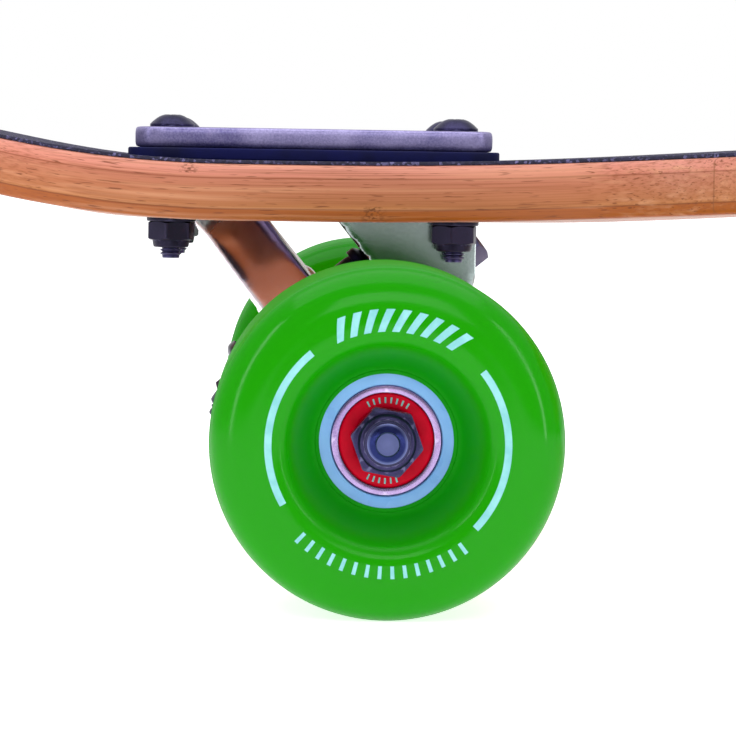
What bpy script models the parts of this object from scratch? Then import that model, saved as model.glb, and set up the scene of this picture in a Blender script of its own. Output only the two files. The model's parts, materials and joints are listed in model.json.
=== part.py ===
"""Drop-through longboard: a laminated deck, two reverse-kingpin trucks and four urethane wheels.

Metres, +Z up. The origin lies on the ground under the middle of the board, and +X runs along it.
The front end is at -X. Each truck is laid out in its own frame, with its origin at the middle of
the axle and +X towards the middle of the board. The truck's steering frame has +Z up the steering
axis and +X along the kingpin. Every piece keeps CONTACT_GAP to the pieces it touches.
"""

from math import cos, pi, radians, sin, tan

import bmesh
import bpy
from mathutils import Matrix

CONTACT_GAP = 0.0003

# Deck
DECK_LENGTH = 1.016
DECK_WIDTH = 0.240
DECK_THICKNESS = 0.012
DECK_ABOVE_AXLE = 0.042
NOSE_LENGTH = 0.108
NECK_CLEARANCE = 0.0125
FLARE_CLEARANCE = 0.005
FLARE_LENGTH = 0.100
TIP_LENGTH = 0.070
TIP_POWER = 2.4
KICK_LAP = 0.00395
KICK_BEND = 0.018
KICK_ANGLE = radians(12)
CAMBER_MARGIN = 0.00205
CAMBER_LENGTH = 0.120
CAMBER_RISE = 0.0055
BOW_START = 0.018
BOW_LENGTH = 0.050
BOW_SLOPE = 0.196
RAIL_LENGTH = 0.198
RAIL_RISE = 0.0080
DECK_COLUMNS = 8
LEAST_STATION = 0.0005
GRIP_THICKNESS = 0.0007
GRIP_INSET = 0.0010
PAD_THICKNESS = 0.0018
PAD_MARGIN = 0.0015

# Wheels and bearings
WHEEL_RADIUS = 0.035
WHEEL_WIDTH = 0.051
LIP_RADIUS = 0.0050
DISH_RADIUS = 0.0193
CORE_RADIUS = 0.0140
CORE_WIDTH = 0.0256
CORE_WEB = 0.0020
BEARING_RADIUS = 0.011
BEARING_WIDTH = 0.007
BEARING_SPACING = 0.010
AXLE_RADIUS = 0.0040
AXLE_END = 0.0100
AXLE_NUT_FLATS = 0.0127
AXLE_NUT_HEIGHT = 0.0065
SPEED_WASHER = 0.0010

# Hanger and steering
HANGER_WIDTH = 0.180
STEERING_ANGLE = radians(51)
RING_DISTANCE = 0.0173
RING_HOLE = 0.0090
SLAB_THICKNESS = 0.014
SLAB_WIDTH = 0.050
BEAM_RADIUS = 0.0105
BEAM_END_RADIUS = 0.0080
SEAT_DEPTH = 0.0025
PIVOT_LENGTH = 0.067
PIVOT_RADIUS = 0.0055
PIVOT_PLAY = 0.0004
CUP_WALL = 0.0018
CUP_DEPTH = 0.0064
SOCKET_WALL = 0.0020

# Kingpin and bushings
KINGPIN_RADIUS = 0.0047
KINGPIN_FLATS = 0.0143
KINGPIN_HEAD = 0.0060
KINGPIN_NUT = 0.0095
KINGPIN_END = 0.0020
BUSHING_RADIUS = 0.0125
BUSHING_HEIGHT = 0.0126
KINGPIN_WASHER = 0.0014

# Base plate and its fasteners
AXLE_INSET = 0.0143
BOLTS_LONG = 0.0635
BOLTS_WIDE = 0.0413
PLATE_END_MARGIN = 0.0082
PLATE_SIDE_MARGIN = 0.0074
PLATE_THICKNESS = 0.0046
PLATE_CORNER = 0.0060
CUTOUT_LIP = 0.0022
CUTOUT_CLEARANCE = 0.0006
BOSS_WIDTH = 0.028
BOSS_CORNER_HEIGHT = 0.027
HEAD_SEAT = 0.0165
BOLT_RADIUS = 0.0024
BOLT_HEAD_RADIUS = 0.0050
BOLT_HEAD_HEIGHT = 0.0030
BOLT_END = 0.0030
MOUNT_WASHER = 0.0011
MOUNT_NUT_FLATS = 0.0095
MOUNT_NUT_HEIGHT = 0.0055

# Facets round a full turn
TYRE_FACETS = 36
CORE_FACETS = 24
SMALL_FACETS = 16
BOLT_FACETS = 12

# Sizes that follow from the ones above
AXLE_HEIGHT = WHEEL_RADIUS * cos(pi / TYRE_FACETS)
PLATE_X = DECK_LENGTH / 2 - NOSE_LENGTH
AXLE_X = PLATE_X - AXLE_INSET
BEARING_STACK = 2 * BEARING_WIDTH + BEARING_SPACING
WHEEL_Y = HANGER_WIDTH / 2 + SPEED_WASHER + BEARING_STACK / 2
NECK_HALF = WHEEL_Y - WHEEL_WIDTH / 2 - NECK_CLEARANCE
PLATE_LENGTH = BOLTS_LONG + 2 * PLATE_END_MARGIN
PLATE_WIDTH = BOLTS_WIDE + 2 * PLATE_SIDE_MARGIN
KICK_START = PLATE_LENGTH / 2 - KICK_LAP
CAMBER_START = PLATE_LENGTH / 2 + CAMBER_MARGIN
CONCAVE_START = PLATE_WIDTH / 2 + PAD_MARGIN
DECK_TOP = DECK_ABOVE_AXLE + DECK_THICKNESS
GRIP_BOTTOM = DECK_TOP + CONTACT_GAP
PAD_BOTTOM = GRIP_BOTTOM + GRIP_THICKNESS + CONTACT_GAP
PLATE_BOTTOM = PAD_BOTTOM + PAD_THICKNESS + CONTACT_GAP
PLATE_TOP = PLATE_BOTTOM + PLATE_THICKNESS
BUSHING_START = SLAB_THICKNESS / 2 - SEAT_DEPTH + CONTACT_GAP
WASHER_START = BUSHING_START + BUSHING_HEIGHT + CONTACT_GAP
BOSS_SEAT = WASHER_START + KINGPIN_WASHER + CONTACT_GAP
HEAD_START = BOSS_SEAT + HEAD_SEAT + CONTACT_GAP
NUT_START = BOSS_SEAT
BOLT_HOLE = BOLT_RADIUS + CONTACT_GAP
CUP_RADIUS = PIVOT_RADIUS + PIVOT_PLAY + CUP_WALL
SOCKET_BORE = CUP_RADIUS + CONTACT_GAP
SOCKET_HALF = SOCKET_BORE + SOCKET_WALL
CUP_FLOOR = PIVOT_LENGTH + PIVOT_PLAY
CUP_MOUTH = CUP_FLOOR - CUP_DEPTH
SEAT_RADIUS = BUSHING_RADIUS + 2 * CONTACT_GAP
CUTOUT_OUT = -AXLE_INSET - PLATE_LENGTH / 2 + CUTOUT_LIP
CUTOUT_IN = -AXLE_INSET + PLATE_LENGTH / 2 - CUTOUT_LIP

PARTS = "longboard"
CUTTERS = "cutters"


def clear_scene():
    for obj in list(bpy.data.objects):
        bpy.data.objects.remove(obj, do_unlink=True)


def make_collection(name):
    collection = bpy.data.collections.new(name)
    bpy.context.scene.collection.children.link(collection)
    return collection


def make_finish(name, colour, roughness, metallic):
    finish = bpy.data.materials.new(name)
    finish.use_nodes = True
    shader = finish.node_tree.nodes["Principled BSDF"]
    shader.inputs["Base Color"].default_value = (*colour, 1)
    shader.inputs["Roughness"].default_value = roughness
    shader.inputs["Metallic"].default_value = metallic
    return finish


def make_finishes():
    return {
        "bamboo": make_finish("bamboo", (0.62, 0.36, 0.14), 0.45, 0),
        "grip": make_finish("grip", (0.02, 0.02, 0.03), 0.95, 0),
        "rubber": make_finish("rubber", (0.03, 0.03, 0.05), 0.7, 0),
        "urethane": make_finish("urethane", (0.03, 0.45, 0.01), 0.15, 0),
        "core": make_finish("core", (0.85, 0.88, 0.9), 0.35, 0),
        "satin_alloy": make_finish("satin_alloy", (0.55, 0.53, 0.58), 0.35, 1),
        "bright_alloy": make_finish("bright_alloy", (0.75, 0.75, 0.77), 0.12, 1),
        "steel": make_finish("steel", (0.6, 0.62, 0.68), 0.25, 1),
        "black_steel": make_finish("black_steel", (0.03, 0.03, 0.04), 0.35, 1),
        "bearing": make_finish("bearing", (0.6, 0.02, 0.03), 0.3, 0),
        "nylon": make_finish("nylon", (0.02, 0.02, 0.03), 0.5, 0),
    }


def add_object(name, mesh, finish=None, parent=None, matrix=None):
    """A part, or a helper shape where no finish is given."""
    obj = bpy.data.objects.new(name, mesh)
    obj.parent = parent
    obj.matrix_local = matrix or Matrix()
    if finish is None:
        bpy.data.collections[CUTTERS].objects.link(obj)
        obj.hide_render = True
        obj.display_type = "WIRE"
    else:
        bpy.data.collections[PARTS].objects.link(obj)
        if not mesh.materials:
            mesh.materials.append(finish)
    return obj


def add_empty(name, parent, matrix):
    empty = bpy.data.objects.new(name, None)
    empty.parent = parent
    empty.matrix_local = matrix
    bpy.data.collections[PARTS].objects.link(empty)
    return empty


def circle(radius, facets, x=0.0, y=0.0):
    step = 2 * pi / facets
    return [(x + radius * cos(step * i), y + radius * sin(step * i)) for i in range(facets)]


def rounded_box(x_low, x_high, half_width, corner, facets=4):
    """A rectangle's outline, centred on y = 0, with round corners."""
    points = []
    corners = (
        (x_high - corner, half_width - corner, 0),
        (x_low + corner, half_width - corner, 1),
        (x_low + corner, corner - half_width, 2),
        (x_high - corner, corner - half_width, 3),
    )
    for x, y, quarter in corners:
        for i in range(facets + 1):
            angle = (quarter + i / facets) * pi / 2
            points.append((x + corner * cos(angle), y + corner * sin(angle)))
    return points


def flat_mesh(name, outlines, thickness):
    """A plate on z = 0 with its middle plane there: the first outline is its edge, the rest are holes."""
    curve = bpy.data.curves.new(name, "CURVE")
    curve.dimensions = "2D"
    curve.fill_mode = "BOTH"
    curve.extrude = thickness / 2
    for outline in outlines:
        spline = curve.splines.new("POLY")
        spline.points.add(len(outline) - 1)
        for point, (x, y) in zip(spline.points, outline):
            point.co = (x, y, 0, 1)
        spline.use_cyclic_u = True
    source = bpy.data.objects.new(name, curve)
    bpy.context.scene.collection.objects.link(source)
    graph = bpy.context.evaluated_depsgraph_get()
    mesh = bpy.data.meshes.new_from_object(source.evaluated_get(graph))
    bpy.data.objects.remove(source, do_unlink=True)
    mesh.name = name
    bm = bmesh.new()
    bm.from_mesh(mesh)
    bmesh.ops.remove_doubles(bm, verts=bm.verts, dist=1e-6)
    bmesh.ops.recalc_face_normals(bm, faces=bm.faces)
    bm.to_mesh(mesh)
    bm.free()
    return mesh


def profile_mesh(name, points, closed):
    """The half section (radius, height) that a Screw turns round Z."""
    count = len(points)
    edges = [(i, i + 1) for i in range(count - 1)]
    if closed:
        edges.append((count - 1, 0))
    mesh = bpy.data.meshes.new(name)
    mesh.from_pydata([(radius, 0, height) for radius, height in points], edges, [])
    return mesh


def turn(obj, facets):
    screw = obj.modifiers.new("turn", "SCREW")
    screw.angle = 2 * pi
    screw.steps = facets
    screw.render_steps = facets
    screw.use_merge_vertices = True
    screw.merge_threshold = 0.00001
    screw.use_smooth_shade = True
    return obj


def bevel(obj, width, segments=2):
    modifier = obj.modifiers.new("edges", "BEVEL")
    modifier.width = width
    modifier.segments = segments
    modifier.limit_method = "ANGLE"
    modifier.angle_limit = radians(40)
    return obj


def combine(obj, operation, other):
    modifier = obj.modifiers.new(other.name, "BOOLEAN")
    modifier.operation = operation
    modifier.object = other
    return obj


def hex_radius(flats):
    return flats / 2 / cos(pi / 6)


def ring_points(outer, inner, low, high):
    return [(outer, high), (outer, low), (inner, low), (inner, high)]


def steering_point(distance, offset):
    """(x, z) in the truck's frame, from the distance up the steering axis and the offset along the kingpin."""
    slope = STEERING_ANGLE
    return (offset * sin(slope) - distance * cos(slope), distance * sin(slope) + offset * cos(slope))


def bolt_places():
    """The mounting bolts' (x, y) in the truck's frame."""
    return [
        (x_side * BOLTS_LONG / 2 - AXLE_INSET, y_side * BOLTS_WIDE / 2)
        for x_side in (-1, 1)
        for y_side in (-1, 1)
    ]


def bolt_circles():
    return [circle(BOLT_HOLE, BOLT_FACETS, x, y) for x, y in bolt_places()]


# Deck


def half_width(x, inset=0.0):
    """Half the deck's width at x: a wide middle, a neck between the wheels, and a round tip."""
    neck_start = AXLE_X - WHEEL_RADIUS - FLARE_CLEARANCE
    tip_start = DECK_LENGTH / 2 - TIP_LENGTH
    share = min(max((neck_start - abs(x)) / FLARE_LENGTH, 0), 1)
    blend = share * share * (3 - 2 * share)
    width = NECK_HALF + (DECK_WIDTH / 2 - NECK_HALF) * blend
    if abs(x) > tip_start:
        along = min((abs(x) - tip_start) / (TIP_LENGTH - inset), 1)
        width = (width - inset) * (1 - along**TIP_POWER) ** (1 / TIP_POWER) + inset
    return width - inset


def middle_rise(x):
    """Height of the deck's middle over its flat truck seats: kicked tips and a slight camber."""
    outward = abs(x) - PLATE_X - KICK_START
    if outward > 0:
        bend = min(outward, KICK_BEND)
        return tan(KICK_ANGLE) * (bend * bend / (2 * KICK_BEND) + outward - bend)
    inward = min(max(PLATE_X - CAMBER_START - abs(x), 0), CAMBER_LENGTH)
    return CAMBER_RISE * (1 - cos(pi * inward / CAMBER_LENGTH)) / 2


def rail_rise(x):
    """Height of the deck's two rails, which bow in one long curve where the middle stays flat."""
    outward = abs(x) - PLATE_X - BOW_START
    if outward > 0:
        bend = min(outward, BOW_LENGTH)
        return BOW_SLOPE * (bend * bend / (2 * BOW_LENGTH) + outward - bend)
    inward = min(max(PLATE_X - abs(x), 0), RAIL_LENGTH)
    return RAIL_RISE * (1 - cos(pi * inward / RAIL_LENGTH)) / 2


def deck_rise(x, y):
    """Height of the deck over its truck seats: flat across the middle, bowed up to the rails."""
    reach = max(half_width(x) - CONCAVE_START, GRIP_INSET)
    share = min(max((abs(y) - CONCAVE_START) / reach, 0), 1) ** 2
    return middle_rise(x) * (1 - share) + rail_rise(x) * share


def deck_stations(inset):
    """x of every cross section, from tip to tip: where the outline turns or the side view bends."""
    neck_start = AXLE_X - WHEEL_RADIUS - FLARE_CLEARANCE
    tip_start = DECK_LENGTH / 2 - TIP_LENGTH
    right = [neck_start - FLARE_LENGTH * i / 8 for i in range(9)]
    right += [tip_start + (TIP_LENGTH - inset) * sin(pi / 2 * i / 10) for i in range(11)]
    right += [PLATE_X + KICK_START + KICK_BEND * i / 4 for i in range(5)]
    right += [PLATE_X - CAMBER_START - CAMBER_LENGTH * i / 6 for i in range(7)]
    right += [PLATE_X + BOW_START + BOW_LENGTH * i / 4 for i in range(5)]
    right += [PLATE_X - RAIL_LENGTH * i / 6 for i in range(7)]
    right.sort()
    kept = right[:1] + [x for last, x in zip(right, right[1:]) if x - last > LEAST_STATION]
    return [-x for x in reversed(kept)] + kept


def sheet_mesh(name, base, thickness, inset):
    """A sheet that follows the deck's outline and side view, thickened straight up from its underside."""
    bm = bmesh.new()
    rows = []
    for x in deck_stations(inset):
        half = half_width(x, inset)
        across = [half * (2 * i / DECK_COLUMNS - 1) for i in range(DECK_COLUMNS + 1)]
        rows.append([bm.verts.new((x, y, base + deck_rise(x, y))) for y in across])
    for row, next_row in zip(rows, rows[1:]):
        for i in range(DECK_COLUMNS):
            bm.faces.new((row[i], next_row[i], next_row[i + 1], row[i + 1]))
    bmesh.ops.remove_doubles(bm, verts=bm.verts, dist=1e-5)
    grown = bmesh.ops.extrude_face_region(bm, geom=bm.faces[:])["geom"]
    upper = [item for item in grown if isinstance(item, bmesh.types.BMVert)]
    bmesh.ops.translate(bm, verts=upper, vec=(0, 0, thickness))
    bmesh.ops.recalc_face_normals(bm, faces=bm.faces)
    mesh = bpy.data.meshes.new(name)
    bm.to_mesh(mesh)
    bm.free()
    return mesh


def cutout_outline():
    """The drop-through opening in the truck's frame: a slot between the bolts, wider in its middle."""
    slot = BOSS_WIDTH / 2 + CUTOUT_CLEARANCE
    wing = PLATE_WIDTH / 2 - 2 * CUTOUT_LIP
    wing_out = -AXLE_INSET - BOLTS_LONG / 2 + 4 * BOLT_RADIUS
    wing_in = -AXLE_INSET + BOLTS_LONG / 2 - 4 * BOLT_RADIUS
    half = [(CUTOUT_IN, slot), (wing_in, slot), (wing_in, wing), (wing_out, wing), (wing_out, slot)]
    half.append((CUTOUT_OUT, slot))
    return half + [(x, -y) for x, y in reversed(half)]


def build_deck(finishes):
    wood_mesh = sheet_mesh("deck", AXLE_HEIGHT + DECK_ABOVE_AXLE, DECK_THICKNESS, 0)
    wood = add_object("deck", wood_mesh, finishes["bamboo"])
    grip_mesh = sheet_mesh("grip_tape", AXLE_HEIGHT + GRIP_BOTTOM, GRIP_THICKNESS, GRIP_INSET)
    grip = add_object("grip_tape", grip_mesh, finishes["grip"])
    opening = flat_mesh("openings", [cutout_outline(), *bolt_circles()], 4 * DECK_THICKNESS)
    for side in (-1, 1):
        facing = Matrix.Rotation(0 if side < 0 else pi, 4, "Z")
        place = Matrix.Translation((side * AXLE_X, 0, AXLE_HEIGHT + DECK_TOP)) @ facing
        cutter = add_object(f"openings_{side + 1}", opening, matrix=place)
        combine(wood, "DIFFERENCE", cutter)
        combine(grip, "DIFFERENCE", cutter)


# Wheels


def tyre_profile():
    half = WHEEL_WIDTH / 2
    lip = LIP_RADIUS
    bore = CORE_RADIUS + CONTACT_GAP
    side = [(bore, CORE_WIDTH / 2), (DISH_RADIUS, half - 0.0010), (DISH_RADIUS + 0.0015, half)]
    for i in range(4):
        angle = pi / 2 * i / 3
        side.append((WHEEL_RADIUS - lip + lip * sin(angle), half - lip + lip * cos(angle)))
    return side + [(radius, -height) for radius, height in reversed(side)]


def core_profile():
    high = CORE_WIDTH / 2
    seat = BEARING_RADIUS + CONTACT_GAP
    shoulder = BEARING_SPACING / 2 - CONTACT_GAP
    web = BEARING_RADIUS - CORE_WEB
    return [
        (CORE_RADIUS, high),
        (CORE_RADIUS, -high),
        (seat, -high),
        (seat, -shoulder),
        (web, -shoulder),
        (web, shoulder),
        (seat, shoulder),
        (seat, high),
    ]


def wheel_meshes():
    half = BEARING_WIDTH / 2
    bearing = ring_points(BEARING_RADIUS, AXLE_RADIUS + CONTACT_GAP, -half, half)
    return {
        "tyre": profile_mesh("tyre", tyre_profile(), True),
        "core": profile_mesh("core", core_profile(), True),
        "bearing": profile_mesh("bearing", bearing, True),
    }


def build_wheel(name, hub, meshes, finishes, outward):
    """A tyre on its core, with a bearing on each side, turned about the hub's Y."""
    to_y = Matrix.Rotation(-pi / 2, 4, "X")
    facet_down = Matrix.Rotation(pi / TYRE_FACETS, 4, "Z")
    tyre = add_object(name + "_tyre", meshes["tyre"], finishes["urethane"], hub, to_y @ facet_down)
    turn(tyre, TYRE_FACETS)
    turn(add_object(name + "_core", meshes["core"], finishes["core"], hub, to_y), CORE_FACETS)
    offset = outward * (BEARING_SPACING + BEARING_WIDTH) / 2
    for place, shift in (("outer", offset), ("inner", -offset)):
        matrix = Matrix.Translation((0, shift, 0)) @ to_y
        title = f"{name}_{place}_bearing"
        turn(add_object(title, meshes["bearing"], finishes["bearing"], hub, matrix), CORE_FACETS)


# Truck


def upright_mesh(name, outline, width):
    """A solid with an (x, z) outline and its width along Y."""
    mesh = flat_mesh(name, [outline], width)
    mesh.transform(Matrix.Rotation(pi / 2, 4, "X"))
    return mesh


def boss_outline():
    """The kingpin boss: its left edge is the bushing's seat, square to the kingpin."""
    lap = PLATE_BOTTOM + PLATE_THICKNESS / 4
    up = (lap - BOSS_SEAT * cos(STEERING_ANGLE)) / sin(STEERING_ANGLE)
    right = CUTOUT_IN - CUTOUT_CLEARANCE
    low = steering_point(RING_DISTANCE - SEAT_RADIUS - 2 * CONTACT_GAP, BOSS_SEAT)
    return [low, (right, BOSS_CORNER_HEIGHT), (right, lap), steering_point(up, BOSS_SEAT)]


def socket_outline():
    """The pivot cup's housing, square to the steering axis at its mouth."""
    lap = PLATE_BOTTOM + PLATE_THICKNESS / 4
    left = CUTOUT_OUT + CUTOUT_CLEARANCE
    up = (-left - SOCKET_HALF * sin(STEERING_ANGLE)) / cos(STEERING_ANGLE)
    far = steering_point(CUP_MOUTH, SOCKET_HALF)
    return [
        (left, steering_point(up, -SOCKET_HALF)[1]),
        steering_point(CUP_MOUTH, -SOCKET_HALF),
        far,
        (far[0] + SOCKET_WALL, lap),
        (left, lap),
    ]


def rod_cutter(name, parent, radius, low, high, facets, matrix):
    """A cylinder along its own Z, from low to high."""
    mesh = profile_mesh(name, [(0, high), (radius, high), (radius, low), (0, low)], False)
    return turn(add_object(name, mesh, parent=parent, matrix=matrix), facets)


def kingpin_frame():
    """From the steering frame: origin at the ring's centre, +Z along the kingpin to its head."""
    return Matrix.Translation((0, 0, RING_DISTANCE)) @ Matrix.Rotation(pi / 2, 4, "Y")


def build_base_plate(name, truck, steering, finishes):
    centre = -AXLE_INSET
    half = PLATE_LENGTH / 2
    edge = rounded_box(centre - half, centre + half, PLATE_WIDTH / 2, PLATE_CORNER)
    mesh = flat_mesh(name, [edge, *bolt_circles()], PLATE_THICKNESS)
    mesh.transform(Matrix.Translation((0, 0, PLATE_BOTTOM + PLATE_THICKNESS / 2)))
    plate = add_object(name, mesh, finishes["satin_alloy"], truck)
    boss = add_object(name + "_boss", upright_mesh("boss", boss_outline(), BOSS_WIDTH), parent=truck)
    bevel(boss, 0.0015)
    socket_mesh = upright_mesh("socket", socket_outline(), 2 * SOCKET_HALF)
    socket = add_object(name + "_socket", socket_mesh, parent=truck)
    bevel(socket, 0.0010, 1)
    frame = kingpin_frame()
    bore_radius = KINGPIN_RADIUS + CONTACT_GAP
    bore = rod_cutter(name + "_bore", steering, bore_radius, 0, 0.060, SMALL_FACETS, frame)
    pocket_radius = hex_radius(KINGPIN_FLATS) + 2 * CONTACT_GAP
    pocket_low = BOSS_SEAT + HEAD_SEAT
    pocket = rod_cutter(name + "_pocket", steering, pocket_radius, pocket_low, 0.060, CORE_FACETS, frame)
    cup_high = CUP_FLOOR + CUP_WALL + CONTACT_GAP
    hole = rod_cutter(name + "_hole", steering, SOCKET_BORE, 0.040, cup_high, SMALL_FACETS, Matrix())
    combine(plate, "UNION", boss)
    combine(plate, "UNION", socket)
    for cutter in (bore, pocket, hole):
        combine(plate, "DIFFERENCE", cutter)


def build_riser_pad(name, truck, finishes):
    centre = -AXLE_INSET
    half = PLATE_LENGTH / 2 + PAD_MARGIN
    edge = rounded_box(centre - half, centre + half, PLATE_WIDTH / 2 + PAD_MARGIN, PLATE_CORNER)
    mesh = flat_mesh(name, [edge, cutout_outline(), *bolt_circles()], PAD_THICKNESS)
    mesh.transform(Matrix.Translation((0, 0, PAD_BOTTOM + PAD_THICKNESS / 2)))
    add_object(name, mesh, finishes["rubber"], truck)


def slab_outline():
    """The hanger's body as (across, up the steering axis): two arms, a waist and a nose."""
    half = SLAB_WIDTH / 2
    nose = CUP_MOUTH - 0.0025
    arm = HANGER_WIDTH / 2 - 0.020
    right = [
        (arm, -0.006),
        (arm, 0.006),
        (half + 0.008, RING_DISTANCE),
        (half, RING_DISTANCE + 0.014),
        (half / 2, nose - 0.010),
        (PIVOT_RADIUS + 0.0015, nose),
    ]
    left = [(-across, up) for across, up in reversed(right)]
    return [*right, *left, (0.0, -BEAM_RADIUS + 0.0010)]


def build_hanger(name, steering, finishes):
    across_to_y = Matrix.Rotation(pi / 2, 4, "Z") @ Matrix.Rotation(pi / 2, 4, "X")
    mesh = flat_mesh(name, [slab_outline()], SLAB_THICKNESS)
    mesh.transform(across_to_y)
    hanger = bevel(add_object(name, mesh, finishes["bright_alloy"], steering), 0.0020)
    half = HANGER_WIDTH / 2
    to_y = Matrix.Rotation(-pi / 2, 4, "X")
    side = [(0, half), (BEAM_END_RADIUS, half), (BEAM_END_RADIUS + 0.0012, half - 0.018)]
    section = side + [(BEAM_RADIUS, 0)] + [(radius, -height) for radius, height in reversed(side)]
    beam_mesh = profile_mesh("beam", section, False)
    beam = turn(add_object(name + "_beam", beam_mesh, parent=steering, matrix=to_y), CORE_FACETS)
    nose = [(0, PIVOT_LENGTH), (0.6 * PIVOT_RADIUS, PIVOT_LENGTH - 0.0006)]
    nose += [(PIVOT_RADIUS, PIVOT_LENGTH - 0.0030), (PIVOT_RADIUS, 0.050), (0, 0.050)]
    pivot = add_object(name + "_pivot", profile_mesh("pivot", nose, False), parent=steering)
    turn(pivot, SMALL_FACETS)
    seat = SLAB_THICKNESS / 2 - SEAT_DEPTH
    waist = [(0, 0.020), (SEAT_RADIUS, 0.020), (SEAT_RADIUS, seat), (RING_HOLE, seat)]
    waist += [(radius, -height) for radius, height in reversed(waist)]
    ring_mesh = profile_mesh("ring", waist, False)
    ring = add_object(name + "_ring", ring_mesh, parent=steering, matrix=kingpin_frame())
    turn(ring, CORE_FACETS)
    bore_radius = AXLE_RADIUS + CONTACT_GAP
    bore = rod_cutter(name + "_bore", steering, bore_radius, -half - 0.01, half + 0.01, SMALL_FACETS, to_y)
    combine(hanger, "UNION", beam)
    combine(hanger, "UNION", pivot)
    combine(hanger, "DIFFERENCE", ring)
    combine(hanger, "DIFFERENCE", bore)


def build_kingpin(name, steering, finishes):
    frame = kingpin_frame()
    low = -NUT_START - CONTACT_GAP - KINGPIN_NUT - KINGPIN_END
    shaft = [(0, HEAD_START + 0.001), (KINGPIN_RADIUS, HEAD_START + 0.001)]
    shaft += [(KINGPIN_RADIUS, low + 0.001), (KINGPIN_RADIUS - 0.001, low), (0, low)]
    mesh = profile_mesh(name + "_kingpin", shaft, False)
    pin = turn(add_object(name + "_kingpin", mesh, finishes["black_steel"], steering, frame), SMALL_FACETS)
    head_mesh = flat_mesh("head", [circle(hex_radius(KINGPIN_FLATS), 6)], KINGPIN_HEAD)
    head_mesh.transform(Matrix.Translation((0, 0, HEAD_START + KINGPIN_HEAD / 2)))
    head = add_object(name + "_kingpin_head", head_mesh, parent=steering, matrix=frame)
    combine(pin, "UNION", head)
    hole = KINGPIN_RADIUS + CONTACT_GAP
    outline = [circle(hex_radius(KINGPIN_FLATS), 6), circle(hole, SMALL_FACETS)]
    nut_mesh = flat_mesh(name + "_kingpin_nut", outline, KINGPIN_NUT)
    nut_mesh.transform(Matrix.Translation((0, 0, -NUT_START - CONTACT_GAP - KINGPIN_NUT / 2)))
    add_object(name + "_kingpin_nut", nut_mesh, finishes["steel"], steering, frame)


def build_bushings(name, steering, finishes):
    """The two bushings on the kingpin, each with its washer on the far side from the hanger."""
    hole = KINGPIN_RADIUS + CONTACT_GAP
    rim = BUSHING_RADIUS - 0.0010
    top = BUSHING_START + BUSHING_HEIGHT
    barrel = [
        (rim, top),
        (BUSHING_RADIUS, top - 0.003),
        (BUSHING_RADIUS, BUSHING_START + 0.003),
        (rim, BUSHING_START),
        (hole, BUSHING_START),
        (hole, top),
    ]
    washer = ring_points(BUSHING_RADIUS, hole, WASHER_START, WASHER_START + KINGPIN_WASHER)
    frame = kingpin_frame()
    for place, matrix in (("board", frame), ("road", frame @ Matrix.Rotation(pi, 4, "X"))):
        title = f"{name}_{place}side_bushing"
        bushing = add_object(title, profile_mesh(title, barrel, True), finishes["rubber"], steering, matrix)
        turn(bushing, CORE_FACETS)
        title = f"{name}_{place}side_washer"
        disc = add_object(title, profile_mesh(title, washer, True), finishes["steel"], steering, matrix)
        turn(disc, CORE_FACETS)


def build_pivot_cup(name, steering, finishes):
    inner = PIVOT_RADIUS + PIVOT_PLAY
    top = CUP_FLOOR + CUP_WALL
    section = [(0, top), (CUP_RADIUS, top), (CUP_RADIUS, CUP_MOUTH)]
    section += [(inner, CUP_MOUTH), (inner, CUP_FLOOR), (0, CUP_FLOOR)]
    mesh = profile_mesh(name + "_pivot_cup", section, False)
    turn(add_object(name + "_pivot_cup", mesh, finishes["nylon"], steering), SMALL_FACETS)


def build_axle(name, hanger, finishes):
    half = WHEEL_Y + BEARING_STACK / 2 + AXLE_END
    chamfer = 0.001
    section = [(0, half), (AXLE_RADIUS - chamfer, half), (AXLE_RADIUS, half - chamfer)]
    section += [(radius, -height) for radius, height in reversed(section)]
    mesh = profile_mesh(name + "_axle", section, False)
    to_y = Matrix.Rotation(-pi / 2, 4, "X")
    turn(add_object(name + "_axle", mesh, finishes["steel"], hanger, to_y), SMALL_FACETS)


def build_axle_nut(name, hanger, finishes, side):
    outline = [circle(hex_radius(AXLE_NUT_FLATS), 6), circle(AXLE_RADIUS + CONTACT_GAP, SMALL_FACETS)]
    mesh = flat_mesh(name, outline, AXLE_NUT_HEIGHT)
    mesh.transform(Matrix.Rotation(-pi / 2, 4, "X"))
    start = WHEEL_Y + BEARING_STACK / 2 + SPEED_WASHER
    matrix = Matrix.Translation((0, side * (start + AXLE_NUT_HEIGHT / 2), 0))
    add_object(name, mesh, finishes["nylon"], hanger, matrix)


def bolt_profile():
    length = PLATE_TOP - DECK_ABOVE_AXLE + MOUNT_WASHER + MOUNT_NUT_HEIGHT + BOLT_END
    head = BOLT_HEAD_HEIGHT
    return [
        (0, head),
        (0.55 * BOLT_HEAD_RADIUS, 0.93 * head),
        (0.90 * BOLT_HEAD_RADIUS, 0.55 * head),
        (BOLT_HEAD_RADIUS, 0),
        (BOLT_RADIUS, 0),
        (BOLT_RADIUS, -length),
        (0, -length),
    ]


def build_fasteners(name, truck, finishes):
    bolt_mesh = profile_mesh(name + "_bolt", bolt_profile(), False)
    outline = [circle(hex_radius(MOUNT_NUT_FLATS), 6), circle(BOLT_HOLE, BOLT_FACETS)]
    nut_mesh = flat_mesh(name + "_nut", outline, MOUNT_NUT_HEIGHT)
    nut_top = DECK_ABOVE_AXLE - CONTACT_GAP - MOUNT_WASHER
    for index, (x, y) in enumerate(bolt_places(), 1):
        high = Matrix.Translation((x, y, PLATE_TOP + CONTACT_GAP))
        bolt = add_object(f"{name}_mount_bolt_{index}", bolt_mesh, finishes["black_steel"], truck, high)
        turn(bolt, BOLT_FACETS)
        low = Matrix.Translation((x, y, nut_top - MOUNT_NUT_HEIGHT / 2))
        add_object(f"{name}_mount_nut_{index}", nut_mesh, finishes["steel"], truck, low)


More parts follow.
